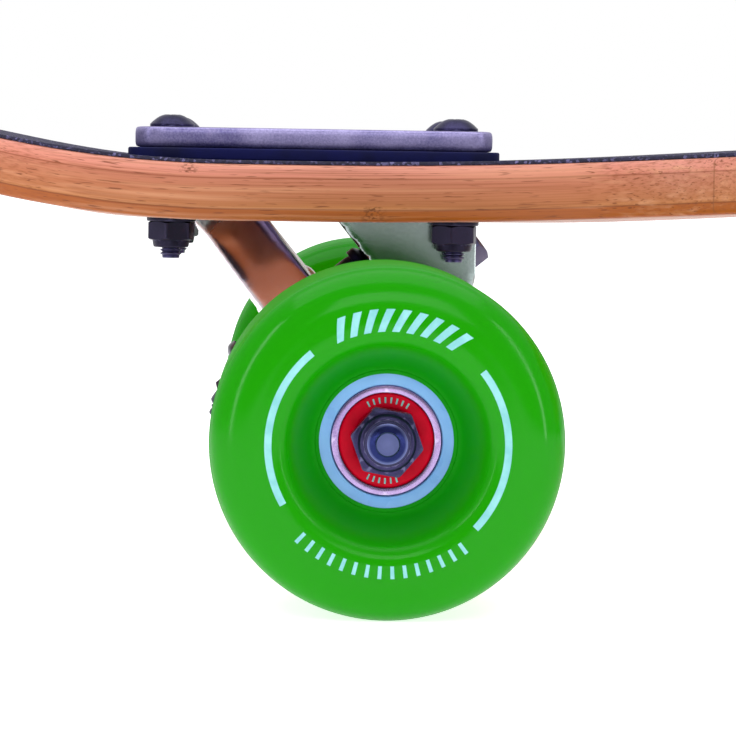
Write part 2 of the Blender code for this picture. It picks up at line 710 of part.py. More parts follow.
def build_truck(name, side, meshes, finishes):
    """One truck with its two wheels, at x = side * AXLE_X."""
    facing = Matrix.Rotation(0 if side < 0 else pi, 4, "Z")
    truck = add_empty(name + "_truck", None, Matrix.Translation((side * AXLE_X, 0, AXLE_HEIGHT)) @ facing)
    tilt = Matrix.Rotation(STEERING_ANGLE - pi / 2, 4, "Y")
    steering = add_empty(name + "_steering", truck, tilt)
    build_base_plate(name + "_base_plate", truck, steering, finishes)
    build_riser_pad(name + "_riser_pad", truck, finishes)
    build_fasteners(name, truck, finishes)
    build_kingpin(name, steering, finishes)
    build_bushings(name, steering, finishes)
    build_pivot_cup(name, steering, finishes)
    build_hanger(name + "_hanger", steering, finishes)
    build_axle(name, steering, finishes)
    for place, world_y in (("left", -1), ("right", 1)):
        own_y = -side * world_y
        title = f"{name}_{place}"
        build_axle_nut(title + "_axle_nut", steering, finishes, own_y)
        hub = add_empty(title + "_hub", steering, Matrix.Translation((0, own_y * WHEEL_Y, 0)) @ tilt.inverted())
        build_wheel(title, hub, meshes, finishes, own_y)


def shade(parts):
    for obj in parts.objects:
        if obj.type == "MESH" and obj.data.polygons:
            obj.data.shade_smooth()
            obj.data.set_sharp_from_angle(angle=radians(35))


def main():
    clear_scene()
    parts = make_collection(PARTS)
    make_collection(CUTTERS)
    finishes = make_finishes()
    meshes = wheel_meshes()
    build_deck(finishes)
    for name, side in (("front", -1), ("rear", 1)):
        build_truck(name, side, meshes, finishes)
    shade(parts)


main()
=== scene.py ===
"""Looks of a drop-through longboard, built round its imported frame.

Metres, +Z up, +X along the board. Each truck's pieces are shaped in the truck's own frame, whose
origin is the middle of the axle and whose +X points to the middle of the board, and then moved
to their place. Turned pieces are shaped round Z first.
"""

import json
import logging
from dataclasses import dataclass
from enum import Enum
from math import atan2, cos, hypot, pi, radians, sin, tan

import bmesh
import bpy
from mathutils import Matrix, Vector


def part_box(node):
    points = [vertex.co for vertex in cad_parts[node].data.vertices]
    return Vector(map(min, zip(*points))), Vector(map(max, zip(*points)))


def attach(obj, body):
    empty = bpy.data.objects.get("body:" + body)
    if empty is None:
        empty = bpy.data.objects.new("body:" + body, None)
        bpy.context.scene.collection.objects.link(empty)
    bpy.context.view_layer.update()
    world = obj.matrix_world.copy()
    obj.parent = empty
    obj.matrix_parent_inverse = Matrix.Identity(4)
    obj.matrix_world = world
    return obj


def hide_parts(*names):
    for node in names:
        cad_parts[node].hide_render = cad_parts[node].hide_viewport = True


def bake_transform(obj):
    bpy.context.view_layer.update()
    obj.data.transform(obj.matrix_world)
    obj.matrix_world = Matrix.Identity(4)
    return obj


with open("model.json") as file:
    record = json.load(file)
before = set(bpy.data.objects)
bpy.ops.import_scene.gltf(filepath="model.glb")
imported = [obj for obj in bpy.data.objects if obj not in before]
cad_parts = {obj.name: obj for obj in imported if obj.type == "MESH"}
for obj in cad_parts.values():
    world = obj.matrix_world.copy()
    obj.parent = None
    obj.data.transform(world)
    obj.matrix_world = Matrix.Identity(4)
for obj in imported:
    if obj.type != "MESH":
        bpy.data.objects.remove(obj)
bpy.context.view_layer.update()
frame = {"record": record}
LOG = logging.getLogger("longboard")

MM = 0.001
# Bands of the wave texture in one unit of its vector.
WAVES_A_UNIT = 20
Pair = tuple[float, float]
Outline = list[Pair]


class End(Enum):
    """The two ends of the board, by the sign of their x."""

    FRONT = -1
    REAR = 1


class Side(Enum):
    """The two sides of the board, by the sign of their y."""

    LEFT = -1
    RIGHT = 1


class Cut(Enum):
    """What a Boolean does with its second shape."""

    JOIN = "UNION"
    REMOVE = "DIFFERENCE"
    COMMON = "INTERSECT"


# Node and mesh helpers

MATH, VECTOR_MATH = "ShaderNodeMath", "ShaderNodeVectorMath"
RANGE, MIX = "ShaderNodeMapRange", "ShaderNodeMix"
NOISE, WAVE, RAMP, BUMP = "ShaderNodeTexNoise", "ShaderNodeTexWave", "ShaderNodeValToRGB", "ShaderNodeBump"
COORDINATES, ATTRIBUTE = "ShaderNodeTexCoord", "ShaderNodeAttribute"
SEPARATE, COMBINE = "ShaderNodeSeparateXYZ", "ShaderNodeCombineXYZ"
REALISE, INSTANCES = "GeometryNodeRealizeInstances", "GeometryNodeInstanceOnPoints"


def linear(code: str) -> tuple[float, float, float, float]:
    """Turns an sRGB hex colour into a linear one.

    Args:
        code: The colour, such as "#2BB103".

    Returns:
        Red, green, blue and an alpha of 1.
    """
    shares = [int(code[i : i + 2], 16) / 255 for i in (1, 3, 5)]
    curved = [s / 12.92 if s <= 0.04045 else ((s + 0.055) / 1.055) ** 2.4 for s in shares]
    return (curved[0], curved[1], curved[2], 1.0)


def feed(made: bpy.types.Node, inputs: dict | list) -> None:
    """Sets or links a node's inputs.

    Args:
        made: The node.
        inputs: Values by input name or number, or a list of them in order. A node is linked from
            its first output in use and a socket is linked, a hex colour is made linear, and any
            other value is set.
    """
    for key, value in enumerate(inputs) if isinstance(inputs, list) else inputs.items():
        if isinstance(value, bpy.types.Node):
            value = next(socket for socket in value.outputs if socket.enabled)
        if isinstance(value, bpy.types.NodeSocket):
            made.id_data.links.new(value, made.inputs[key])
        else:
            made.inputs[key].default_value = linear(value) if isinstance(value, str) else value


def node(
    tree: bpy.types.NodeTree, kind: str, inputs: dict | list | None = None, **settings
) -> bpy.types.Node:
    """Adds a node with its settings and links.

    Args:
        tree: The tree to add it to.
        kind: The node's type name.
        inputs: Its inputs, as feed takes them.
        settings: The node's own properties. On a colour ramp, stops is a list of
            (place, hex colour).

    Returns:
        The node.
    """
    made = tree.nodes.new(kind)
    stops = settings.pop("stops", ())
    for name, value in settings.items():
        setattr(made, name, value)
    for index, (place, code) in enumerate(stops):
        ramp = made.color_ramp.elements
        element = ramp[index] if index < len(ramp) else ramp.new(place)
        element.position = place
        element.color = linear(code)
    feed(made, inputs or {})
    return made


def shown(name: str, data: bpy.types.ID) -> bpy.types.Object:
    """A new object in the scene.

    Args:
        name: Its name.
        data: Its mesh, curve, light or camera.

    Returns:
        The object.
    """
    made = bpy.data.objects.new(name, data)
    bpy.context.scene.collection.objects.link(made)
    return made


def taken(form: bmesh.types.BMesh, name: str) -> bpy.types.Mesh:
    """Turns a finished form into a mesh and frees it.

    Args:
        form: The form.
        name: The mesh's name.

    Returns:
        The mesh.
    """
    mesh = bpy.data.meshes.new(name)
    form.to_mesh(mesh)
    form.free()
    return mesh


def fillet(points: Outline, radius: float, steps: int = 4, closed: bool = False) -> Outline:
    """Rounds the corners of a line or an outline.

    Args:
        points: Its corners.
        radius: How far from a corner the rounding starts, at most half of a side.
        steps: Steps in each rounding.
        closed: Whether the last point joins the first.

    Returns:
        The rounded points.
    """
    rounded: Outline = []
    count = len(points)
    for index, corner in enumerate(points):
        if not closed and index in (0, count - 1):
            rounded.append(corner)
            continue
        here = Vector(corner)
        before = Vector(points[index - 1]) - here
        after = Vector(points[(index + 1) % count]) - here
        reach = min(radius, before.length * 0.49, after.length * 0.49)
        start = here + before.normalized() * reach
        end = here + after.normalized() * reach
        for step in range(steps + 1):
            share = step / steps
            point = start.lerp(here, share).lerp(here.lerp(end, share), share)
            rounded.append((point.x, point.y))
    return rounded


def circle(radius: float, facets: int, x: float = 0.0, y: float = 0.0, turn: float = 0.0) -> Outline:
    """The points of a circle, or of a polygon by its corner radius."""
    step = 2 * pi / facets
    return [(x + radius * cos(step * i + turn), y + radius * sin(step * i + turn)) for i in range(facets)]


def box_outline(x_low: float, x_high: float, half: float) -> Outline:
    """A rectangle's corners, centred on y = 0."""
    return [(x_high, half), (x_low, half), (x_low, -half), (x_high, -half)]


def lathe(name: str, profile: Outline, segments: int = 96, closed: bool = False) -> bpy.types.Mesh:
    """Turns a profile round Z, and stores each point's radius and height for patterns that run round.

    Args:
        name: The mesh's name.
        profile: (radius, height) points. A radius of zero makes a pole.
        segments: Steps in the full turn.
        closed: Whether the last point joins the first, as in a ring's section.

    Returns:
        The mesh.
    """
    form = bmesh.new()
    rings = []
    for radius, height in profile:
        spots = circle(radius, segments) if radius > 1e-7 else [(0.0, 0.0)]
        rings.append([form.verts.new((x, y, height)) for x, y in spots])
    pairs = list(zip(rings, rings[1:]))
    if closed:
        pairs.append((rings[-1], rings[0]))
    for lower, upper in pairs:
        for i in range(segments):
            j = i + 1
            around = [loop[k % len(loop)] for loop, k in ((lower, i), (lower, j), (upper, j), (upper, i))]
            form.faces.new(list(dict.fromkeys(around)))
    bmesh.ops.recalc_face_normals(form, faces=form.faces)
    mesh = taken(form, name)
    turned = mesh.attributes.new("turned", "FLOAT_VECTOR", "POINT")
    for vertex, value in zip(mesh.vertices, turned.data):
        value.vector = (hypot(vertex.co.x, vertex.co.y), vertex.co.z, atan2(vertex.co.y, vertex.co.x))
    return mesh


def plate(name: str, outlines: list[Outline], low: float, high: float, edge: float = 0.0) -> bpy.types.Mesh:
    """A flat slab between two heights.

    Args:
        name: The mesh's name.
        outlines: Its edge, and then its holes.
        low: Height of its underside.
        high: Height of its top.
        edge: Radius of its rounded edges.

    Returns:
        The mesh, closed and facing out.
    """
    curve = bpy.data.curves.new(name, "CURVE")
    curve.dimensions = "2D"
    curve.fill_mode = "BOTH"
    curve.extrude = (high - low) / 2 - edge
    curve.bevel_depth = edge
    curve.bevel_resolution = 2
    curve.offset = -edge
    for outline in outlines:
        spline = curve.splines.new("POLY")
        spline.points.add(len(outline) - 1)
        for point, (x, y) in zip(spline.points, outline):
            point.co = (x, y, 0, 1)
        spline.use_cyclic_u = True
    source = shown(name, curve)
    graph = bpy.context.evaluated_depsgraph_get()
    mesh = bpy.data.meshes.new_from_object(source.evaluated_get(graph))
    bpy.data.objects.remove(source, do_unlink=True)
    form = bmesh.new()
    form.from_mesh(mesh)
    bmesh.ops.remove_doubles(form, verts=form.verts, dist=1e-6)
    bmesh.ops.recalc_face_normals(form, faces=form.faces)
    bmesh.ops.translate(form, verts=form.verts, vec=(0, 0, (low + high) / 2))
    form.to_mesh(mesh)
    form.free()
    mesh.name = name
    return mesh


def modified(mesh: bpy.types.Mesh, kind: str, **settings) -> bpy.types.Mesh:
    """A copy of a mesh with one modifier applied.

    Args:
        mesh: The mesh.
        kind: The modifier's type.
        settings: The modifier's properties.

    Returns:
        The new mesh.
    """
    holder = shown(mesh.name, mesh)
    modifier = holder.modifiers.new(kind.lower(), kind)
    for name, value in settings.items():
        setattr(modifier, name, value)
    graph = bpy.context.evaluated_depsgraph_get()
    made = bpy.data.meshes.new_from_object(holder.evaluated_get(graph))
    made.name = mesh.name
    bpy.data.objects.remove(holder, do_unlink=True)
    return made


def combine(base: bpy.types.Mesh, cut: Cut, *others: bpy.types.Mesh) -> bpy.types.Mesh:
    """A mesh joined with, cut by or limited to other closed meshes, one after another.

    Args:
        base: The mesh.
        cut: What to do.
        others: The other meshes.

    Returns:
        The new mesh.
    """
    for other in others:
        tool = shown(other.name, other)
        base = modified(base, "BOOLEAN", operation=cut.value, object=tool, solver="EXACT")
        bpy.data.objects.remove(tool, do_unlink=True)
    return base


def placed(mesh: bpy.types.Mesh, matrix: Matrix) -> bpy.types.Mesh:
    """Moves a copy of a mesh to its place.

    Args:
        mesh: The mesh.
        matrix: The move.

    Returns:
        The copy.
    """
    copy = mesh.copy()
    copy.transform(matrix)
    return copy


def joined(name: str, meshes: list[bpy.types.Mesh]) -> bpy.types.Mesh:
    """Puts several meshes in one.

    Args:
        name: The new mesh's name.
        meshes: The meshes.

    Returns:
        The new mesh.
    """
    form = bmesh.new()
    for mesh in meshes:
        form.from_mesh(mesh)
    return taken(form, name)


def cast(mesh: bpy.types.Mesh, voxel: float, rounds: int) -> bpy.types.Mesh:
    """Makes overlapping shapes one skin, with small fillets where they meet, as in a casting."""
    skin = modified(mesh, "REMESH", mode="VOXEL", voxel_size=voxel, adaptivity=0.0)
    return modified(skin, "SMOOTH", factor=0.5, iterations=rounds)


def rod(name: str, radius: float, low: float, high: float, segments: int = 64) -> bpy.types.Mesh:
    """A cylinder round Z, mostly used as a cutter."""
    return lathe(name, [(0, low), (radius, low), (radius, high), (0, high)], segments)


def ring(outer: float, inner: float, low: float, high: float, edge: float) -> Outline:
    """The closed section of a ring with rounded edges."""
    return fillet([(outer, high), (outer, low), (inner, low), (inner, high)], edge, 3, closed=True)


def thread(radius: float, low: float, high: float, pitch: float) -> Outline:
    """The zigzag side of a screw thread, as rings.

    Args:
        radius: Radius over its crests.
        low: Height of its start.
        high: Height of its end.
        pitch: Distance between crests.

    Returns:
        Its points, from start to end.
    """
    count = max(1, round(abs(high - low) / pitch))
    step = (high - low) / count
    points: Outline = []
    for i in range(count):
        points.append((radius, low + step * (i + 0.1)))
        points.append((radius, low + step * (i + 0.3)))
        points.append((radius - 0.55 * pitch, low + step * (i + 0.7)))
        points.append((radius - 0.55 * pitch, low + step * (i + 0.9)))
    return points


def chamfered_hexagon(name: str, flats: float, low: float, high: float, turn: float = 0.0) -> bpy.types.Mesh:
    """A hexagonal block with its corners turned down at both ends, as on a nut or a bolt head.

    Args:
        name: The mesh's name.
        flats: Width across two flats.
        low: Height of one end.
        high: Height of the other end.
        turn: Angle of its first corner.

    Returns:
        The mesh.
    """
    corner = flats / 2 / cos(pi / 6)
    face = flats / 2 * 0.97
    fall = (corner * 1.01 - face) * tan(radians(28))
    edge = fillet(circle(corner, 6, turn=turn), 0.5 * MM, 3, closed=True)
    block = plate(name, [edge], low, high)
    profile = [(0, low), (face, low), (corner * 1.01, low + fall), (corner * 1.01, high - fall)]
    return combine(block, Cut.COMMON, lathe(name, profile + [(face, high), (0, high)], 96))


# Finishes


@dataclass(frozen=True)
class Finish:
    """One surface, named for what the real one is and how it was made."""

    title: str

    def dress(self, tree: bpy.types.NodeTree, shader: bpy.types.Node) -> None:
        """Adds the nodes of this surface."""

    def material(self) -> bpy.types.Material:
        """The material, made the first time it is asked for.

        Returns:
            The material.
        """
        found = bpy.data.materials.get(self.title)
        if found is None:
            found = bpy.data.materials.new(self.title)
            found.use_nodes = True
            self.dress(found.node_tree, found.node_tree.nodes["Principled BSDF"])
        return found


@dataclass(frozen=True)
class Moulded(Finish):
    """A moulded plastic or rubber: a soft, slightly uneven colour and a fine mould grain."""

    colour: str
    shade: str
    roughness: float = 0.4
    grain_mm: float = 0.6
    bump_mm: float = 0.01
    patch_mm: float = 9.0
    coat: float = 0.0
    subsurface: float = 0.0
    specular: float = 0.3

    def dress(self, tree: bpy.types.NodeTree, shader: bpy.types.Node) -> None:
        """A grain in millimetres for the bump, and wider patches for the colour and the gloss.

        Args:
            tree: The material's tree.
            shader: Its shader.
        """
        place = node(tree, COORDINATES).outputs["Object"]
        grain = node(tree, NOISE, {"Vector": place, "Scale": 1000 / self.grain_mm, "Detail": 3.0})
        patch = node(tree, NOISE, {"Vector": place, "Scale": 1000 / self.patch_mm, "Detail": 4.0})
        tone = node(tree, RAMP, {"Fac": patch}, stops=[(0.35, self.shade), (0.62, self.colour)])
        spread = {"To Min": self.roughness * 0.85, "To Max": self.roughness * 1.2}
        gloss = node(tree, RANGE, {"Value": patch, "From Min": 0.3, "From Max": 0.7, **spread})
        bump = node(tree, BUMP, {"Strength": 0.5, "Distance": self.bump_mm * MM, "Height": grain})
        looks = {
            "Base Color": tone,
            "Roughness": gloss,
            "Normal": bump,
            "Coat Weight": self.coat,
            "Coat Roughness": 0.08,
            "Specular IOR Level": self.specular,
            "Subsurface Weight": self.subsurface,
            "Subsurface Radius": (0.0015, 0.004, 0.001),
            "Subsurface Scale": 1.0,
        }
        feed(shader, looks)


@dataclass(frozen=True)
class Metal(Finish):
    """A cast, turned or plated metal: fine speckle, uneven gloss, and wear where edges are rubbed."""

    colour: str
    shade: str
    worn: str
    roughness: float = 0.3
    metallic: float = 1.0
    speck_mm: float = 0.45
    bump_mm: float = 0.02
    turning_mm: float = 0.0
    wear: float = 0.5
    stain_mm: float = 12.0

    def dress(self, tree: bpy.types.NodeTree, shader: bpy.types.Node) -> None:
        """Specks in millimetres, broad stains, rubbed edges, and rings where the piece was turned.

        Args:
            tree: The material's tree.
            shader: Its shader.
        """
        place = node(tree, COORDINATES).outputs["Object"]
        fine = {"Scale": 1000 / self.speck_mm, "Detail": 2.0, "Roughness": 0.7}
        specks = node(tree, NOISE, {"Vector": place, **fine})
        stains = node(tree, NOISE, {"Vector": place, "Scale": 1000 / self.stain_mm, "Detail": 5.0})
        mottle = node(tree, MATH, [specks, 0.5, stains], operation="MULTIPLY_ADD")
        tone = node(tree, RAMP, {"Fac": mottle}, stops=[(0.55, self.shade), (0.95, self.colour)])
        edges = node(tree, "ShaderNodeNewGeometry").outputs["Pointiness"]
        rubbed = node(tree, RANGE, {"Value": edges, "From Min": 0.53, "From Max": 0.60, "To Max": self.wear})
        colour = node(tree, MIX, {0: rubbed, 6: tone, 7: self.worn}, data_type="RGBA")
        spread = {"To Min": self.roughness * 0.8, "To Max": self.roughness * 1.25}
        gloss = node(tree, RANGE, {"Value": stains, "From Min": 0.3, "From Max": 0.7, **spread})
        height = specks
        if self.turning_mm:
            turned = node(tree, ATTRIBUTE, attribute_name="turned").outputs["Vector"]
            waves = {"Vector": turned, "Scale": 1000 / self.turning_mm / WAVES_A_UNIT, "Distortion": 0.4}
            rings = node(tree, WAVE, waves, bands_direction="X").outputs["Fac"]
            height = node(tree, MATH, [rings, 0.5], operation="MULTIPLY")
        bump = node(tree, BUMP, {"Strength": 0.6, "Distance": self.bump_mm * MM, "Height": height})
        feed(shader, {"Base Color": colour, "Roughness": gloss, "Normal": bump, "Metallic": self.metallic})


@dataclass(frozen=True)
class Bamboo(Finish):
    """Laminated bamboo under satin lacquer: plies, strips, long fibres and a band at each node."""

    ply_mm: float = 12.0
    strip_mm: float = 19.0
    internode_mm: float = 230.0
    # Colours from the underside up: the lower ply, a glue line, the core, a glue line, the top ply.
    plies: tuple[tuple[float, str], ...] = (
        (0.0, "#9A4F16"),
        (0.19, "#A05218"),
        (0.215, "#7A3C10"),
        (0.235, "#B3703F"),
        (0.50, "#BA7450"),
        (0.735, "#C27C62"),
        (0.755, "#955138"),
        (0.775, "#D18670"),
        (1.0, "#DA9080"),
    )
    # Blotches by size in millimetres along the board, across it and through it, with their detail.
    blotches: tuple[tuple[str, float, float, float, float], ...] = (
        ("wander", 45, 30, 60, 2.0),
        ("fibre", 42, 0.55, 0.36, 3.0),
        ("broad", 80, 2.6, 1.5, 3.0),
        ("vessel", 5.5, 0.5, 0.34, 1.5),
        ("bend", 30, 4, 3, 1.0),
        ("speck", 0.9, 0.7, 0.5, 1.0),
    )

    def dress(self, tree: bpy.types.NodeTree, shader: bpy.types.Node) -> None:
        """Reads flat_position, the place in the sheet before it was pressed into its curve.

        Args:
            tree: The material's tree.
            shader: Its shader.
        """
        place = node(tree, ATTRIBUTE, attribute_name="flat_position").outputs["Vector"]
        axes = node(tree, SEPARATE, [place]).outputs
        noise = {}
        for title, *size, detail in self.blotches:
            scale = tuple(1000 / side for side in size)
            scaled = node(tree, VECTOR_MATH, [place, scale], operation="MULTIPLY")
            noise[title] = node(tree, NOISE, {"Vector": scaled, "Scale": 1.0, "Detail": detail})
        # The glue lines wander by a quarter of a millimetre.
        wander = node(tree, MATH, [noise["wander"], 0.7 * MM, axes[2]], operation="MULTIPLY_ADD")
        centred = node(tree, MATH, [wander, 0.35 * MM], operation="SUBTRACT")
        level = node(tree, MATH, [centred, self.ply_mm * MM], operation="DIVIDE")
        colour = node(tree, RAMP, {"Fac": level}, stops=self.plies)
        # Each strip of each layer has its own shade.
        across = node(tree, MATH, [axes[1], self.strip_mm * MM], operation="DIVIDE")
        layer = node(tree, MATH, [level, 3.6], operation="MULTIPLY")
        cell = [node(tree, MATH, [value], operation="FLOOR") for value in (across, layer)]
        shade = node(tree, "ShaderNodeTexWhiteNoise", {"Vector": node(tree, COMBINE, cell)})
        # Vessel ends and short dark fibres, a few millimetres long.
        vessels = {"Value": noise["vessel"], "From Min": 0.62, "From Max": 0.70, "To Max": 0.75}
        dashes = node(tree, RANGE, vessels)
        # A node crosses each strip once in an internode, as a darker, denser band.
        lengths = node(tree, MATH, [axes[0], self.internode_mm * MM], operation="DIVIDE")
        along = node(tree, MATH, [lengths, shade], operation="ADD")
        # Both distances are in shares: to the nearest node, and to the nearest joint between strips.
        nearest = []
        for share in (along, across):
            for operation, value in (("FRACT", 0.0), ("SUBTRACT", 0.5), ("ABSOLUTE", 0.0)):
                share = node(tree, MATH, [share, value], operation=operation)
            nearest.append(share)
        bent = node(tree, MATH, [noise["bend"], 0.012, nearest[0]], operation="MULTIPLY_ADD")
        fades = {"From Min": 0.008, "From Max": 0.018, "To Min": 1.0, "To Max": 0.0}
        band = node(tree, RANGE, {"Value": bent, **fades})
        speck = node(tree, RANGE, {"Value": noise["speck"], "From Min": 0.45, "From Max": 0.6, "To Max": 0.8})
        knots = node(tree, MATH, [band, speck], operation="MULTIPLY")
        # Fibres run along the board: a third of a millimetre thick and some 40 mm long.
        layers = (
            (shade, 0.0, 1.0, 0.28, "#B9764E", "MULTIPLY"),
            (noise["fibre"], 0.46, 0.72, 0.62, "#884520", "MIX"),
            (noise["broad"], 0.50, 0.75, 0.5, "#D69A74", "MIX"),
            (dashes, 0.0, 1.0, 1.0, "#6C3212", "MIX"),
            (knots, 0.0, 1.0, 1.0, "#5E2C0C", "MIX"),
            (nearest[1], 0.492, 0.498, 0.6, "#7C4724", "MIX"),
        )
        for value, low, high, most, code, blend in layers:
            share = node(tree, RANGE, {"Value": value, "From Min": low, "From Max": high, "To Max": most})
            colour = node(tree, MIX, {0: share, 6: colour, 7: code}, data_type="RGBA", blend_type=blend)
        satin = {"From Min": 0.3, "From Max": 0.7, "To Min": 0.3, "To Max": 0.52}
        gloss = node(tree, RANGE, {"Value": noise["fibre"], **satin})
        raised = node(tree, MATH, [noise["fibre"], 0.6], operation="MULTIPLY")
        height = node(tree, MATH, [raised, dashes], operation="SUBTRACT")
        bump = node(tree, BUMP, {"Strength": 0.45, "Distance": 0.04 * MM, "Height": height})
        feed(shader, {"Base Color": colour, "Roughness": gloss, "Normal": bump})
        feed(shader, {"Specular IOR Level": 0.3, "Coat Weight": 0.1, "Coat Roughness": 0.22})


@dataclass(frozen=True)
class Grit(Finish):
    """Grip tape: dark adhesive sheet set with abrasive grains that glint here and there."""

    colour: str = "#1C1930"
    middle: str = "#2B2745"
    glint: str = "#6A6490"
    dust: str = "#5A5668"
    grain_mm: float = 0.55

    def dress(self, tree: bpy.types.NodeTree, shader: bpy.types.Node) -> None:
        """Grains a little coarser than real grit, so that they show at this scale.

        Args:
            tree: The material's tree.
            shader: Its shader.
        """
        place = node(tree, COORDINATES).outputs["Object"]
        grains = node(tree, "ShaderNodeTexVoronoi", {"Vector": place, "Scale": 1000 / self.grain_mm}).outputs
        stops = [(0.35, self.colour), (0.68, self.middle), (0.9, self.glint)]
        tone = node(tree, RAMP, {"Fac": grains["Color"]}, stops=stops)
        wear = node(tree, NOISE, {"Vector": place, "Scale": 18.0, "Detail": 5.0})
        dusty = node(tree, RANGE, {"Value": wear, "From Min": 0.5, "From Max": 0.75, "To Max": 0.16})
        colour = node(tree, MIX, {0: dusty, 6: tone, 7: self.dust}, data_type="RGBA")
        bump = node(tree, BUMP, {"Strength": 0.9, "Distance": 0.12 * MM, "Height": grains["Distance"]})
        feed(shader, {"Base Color": colour, "Roughness": 0.88, "Normal": bump})


@dataclass(frozen=True)
class Urethane(Finish):
    """Cast urethane: one clear strong colour, glossy and slightly deep, with faint casting rings."""

    colour: str
    shade: str
    # Radii over which the dish's painted shade fades out into the face's colour.
    dish: Pair = (0.0150, 0.0225)
    tread: Pair = (0.0342, 0.0348)
    dish_roughness: float = 0.55
    tread_roughness: float = 0.6
    ring_mm: float = 0.9

    def dress(self, tree: bpy.types.NodeTree, shader: bpy.types.Node) -> None:
        """The colour darkens down in the dish round the core, as painted shade in the hollow.

        Args:
            tree: The material's tree.
            shader: Its shader.
        """
        turned = node(tree, ATTRIBUTE, attribute_name="turned").outputs["Vector"]
        radius = node(tree, SEPARATE, [turned]).outputs[0]
        rise = {"Value": radius, "From Min": self.dish[0], "From Max": self.dish[1]}
        lit = node(tree, RANGE, rise, interpolation_type="SMOOTHSTEP")
        # Painted shade: a deeper green in the dish, fading out towards the face.
        tone = node(tree, MIX, {0: lit, 6: self.shade, 7: self.colour}, data_type="RGBA")
        place = node(tree, COORDINATES).outputs["Object"]
        cloud = node(tree, NOISE, {"Vector": place, "Scale": 60.0, "Detail": 3.0})
        spread = {"From Min": 0.35, "From Max": 0.65, "To Min": 0.10, "To Max": 0.20}
        face = node(tree, RANGE, {"Value": cloud, **spread})
        # Duller in the dish and on the tread than on the face.
        inner = node(tree, MIX, {0: lit, 2: self.dish_roughness, 3: face}, data_type="FLOAT")
        tread = node(tree, RANGE, {"Value": radius, "From Min": self.tread[0], "From Max": self.tread[1]})
        gloss = node(tree, MIX, {0: tread, 2: inner, 3: self.tread_roughness}, data_type="FLOAT")
        waves = {"Vector": turned, "Scale": 1000 / self.ring_mm / WAVES_A_UNIT, "Distortion": 0.6}
        rings = node(tree, WAVE, waves).outputs["Fac"]
        bump = node(tree, BUMP, {"Strength": 0.10, "Distance": 0.01 * MM, "Height": rings})
        looks = {
            "Base Color": tone,
            "Roughness": gloss,
            "Normal": bump,
            "IOR": 1.5,
            "Specular IOR Level": 0.14,
            "Subsurface Weight": 0.12,
            "Subsurface Radius": (0.001, 0.004, 0.0006),
            "Subsurface Scale": 1.0,
        }
        feed(shader, looks)


# Bamboo: warm, pinkish top ply, fibrous core, darker lower ply, low gloss from the lacquer.
BAMBOO = Bamboo("laminated_bamboo_satin_lacquer")
# Abrasive sheet: no shine of its own, single grains catch the light.
GRIP = Grit("grip_tape_silicon_carbide_grit")
# Sand-cast aluminium, tumbled: satin, faintly violet grey, with pits.
CAST_ALLOY = Metal("cast_aluminium_tumbled", "#AEA6D2", "#6C6698", "#D6D2EC", 0.42, 0.9, 0.5, 0.05, 0.0, 0.35)
# The sides of the boss, linished after casting: smooth enough to pick up the wheels' green, with a green tint
# in their grey as a painted reflection of the wheels.
LINISHED_ALLOY_PAINTED_GREEN = Metal(
    "cast_aluminium_linished", "#8F9A98", "#737E7C", "#ECEBF2", 0.16, 1.0, 0.7, 0.008, 0.0, 0.4
)
# The same aluminium polished: mirrors what is round it, with a soft haze.
POLISHED_ALLOY = Metal("aluminium_polished", "#FFF4F6", "#ECE0E8", "#FFFFFF", 0.24, 1.0, 0.8, 0.006, 0.0, 0.3)
# Black-oxide steel: nearly black with a blue cast, bare where a tool or a thumb has rubbed.
BLACK_STEEL = Metal("steel_black_oxide", "#3A355E", "#191732", "#7D7AA0", 0.34, 0.8, 0.35, 0.02, 0.0, 0.45)
# Black steel on the nuts and washers, painted darker than the bolt heads as painted shade under the deck, and
# duller.
SHADED_BLACK_STEEL = Metal(
    "steel_black_phosphate", "#242038", "#110F1E", "#5A5678", 0.44, 0.8, 0.35, 0.02, 0.0, 0.3
)
# The same black finish on turned pieces, with the tool's rings.
BLACK_TURNED = Metal(
    "steel_black_oxide_turned", "#2F2E48", "#141426", "#77759A", 0.3, 0.8, 0.35, 0.02, 0.35, 0.45
)
# Zinc-plated turned steel with a blue passivation.
ZINC_STEEL = Metal("steel_zinc_plated_blue", "#282F60", "#1A1F44", "#A4AEE4", 0.28, 1.0, 0.4, 0.015, 0.3, 0.5)
# Ground bearing steel: bright, with a faint lilac reflection.
RACE_STEEL = Metal("bearing_steel_ground", "#B8A0CC", "#8C78A6", "#F0E8F8", 0.2, 0.9, 0.3, 0.006, 0.22, 0.3)
# Moulded seal of red nitrile rubber over steel: smooth, half gloss.
SEAL = Moulded("nitrile_seal_moulded_red", "#E4002A", "#CC0022", 0.36, 0.4, 0.008, 4.0, 0.0, 0.0, 0.08)
# Printed ink: a thin, slightly satin pale film.
INK = Moulded("pad_printed_ink_pale", "#8ACACC", "#78BCC0", 0.45, 0.3, 0.004, 3.0)
# Injection-moulded polyester core: very pale blue, half gloss.
CORE = Moulded("polyester_core_moulded", "#84B8F4", "#76ACEC", 0.3, 0.5, 0.006, 6.0, 0.0, 0.05, 0.4)
# Bright cast urethane, with a painted shade of deeper green in the dish.
URETHANE = Urethane("urethane_cast_green", "#188C00", "#048E00")
# Riser pad: navy moulded rubber, dull.
PAD = Moulded("riser_rubber_moulded", "#11154E", "#0B0E38", 0.62, 0.7, 0.05, 8.0, 0.0, 0.0, 0.15)
# Bushing urethane: black, dull sheen, soft.
BUSHING = Moulded("bushing_urethane_cast", "#2A2844", "#17162A", 0.38, 0.8, 0.02, 7.0, 0.1)
# Nylon of a lock nut's insert and of the pivot cup: black, waxy.
NYLON = Moulded("nylon_moulded_black", "#37335F", "#26234A", 0.42, 0.5, 0.01, 5.0)


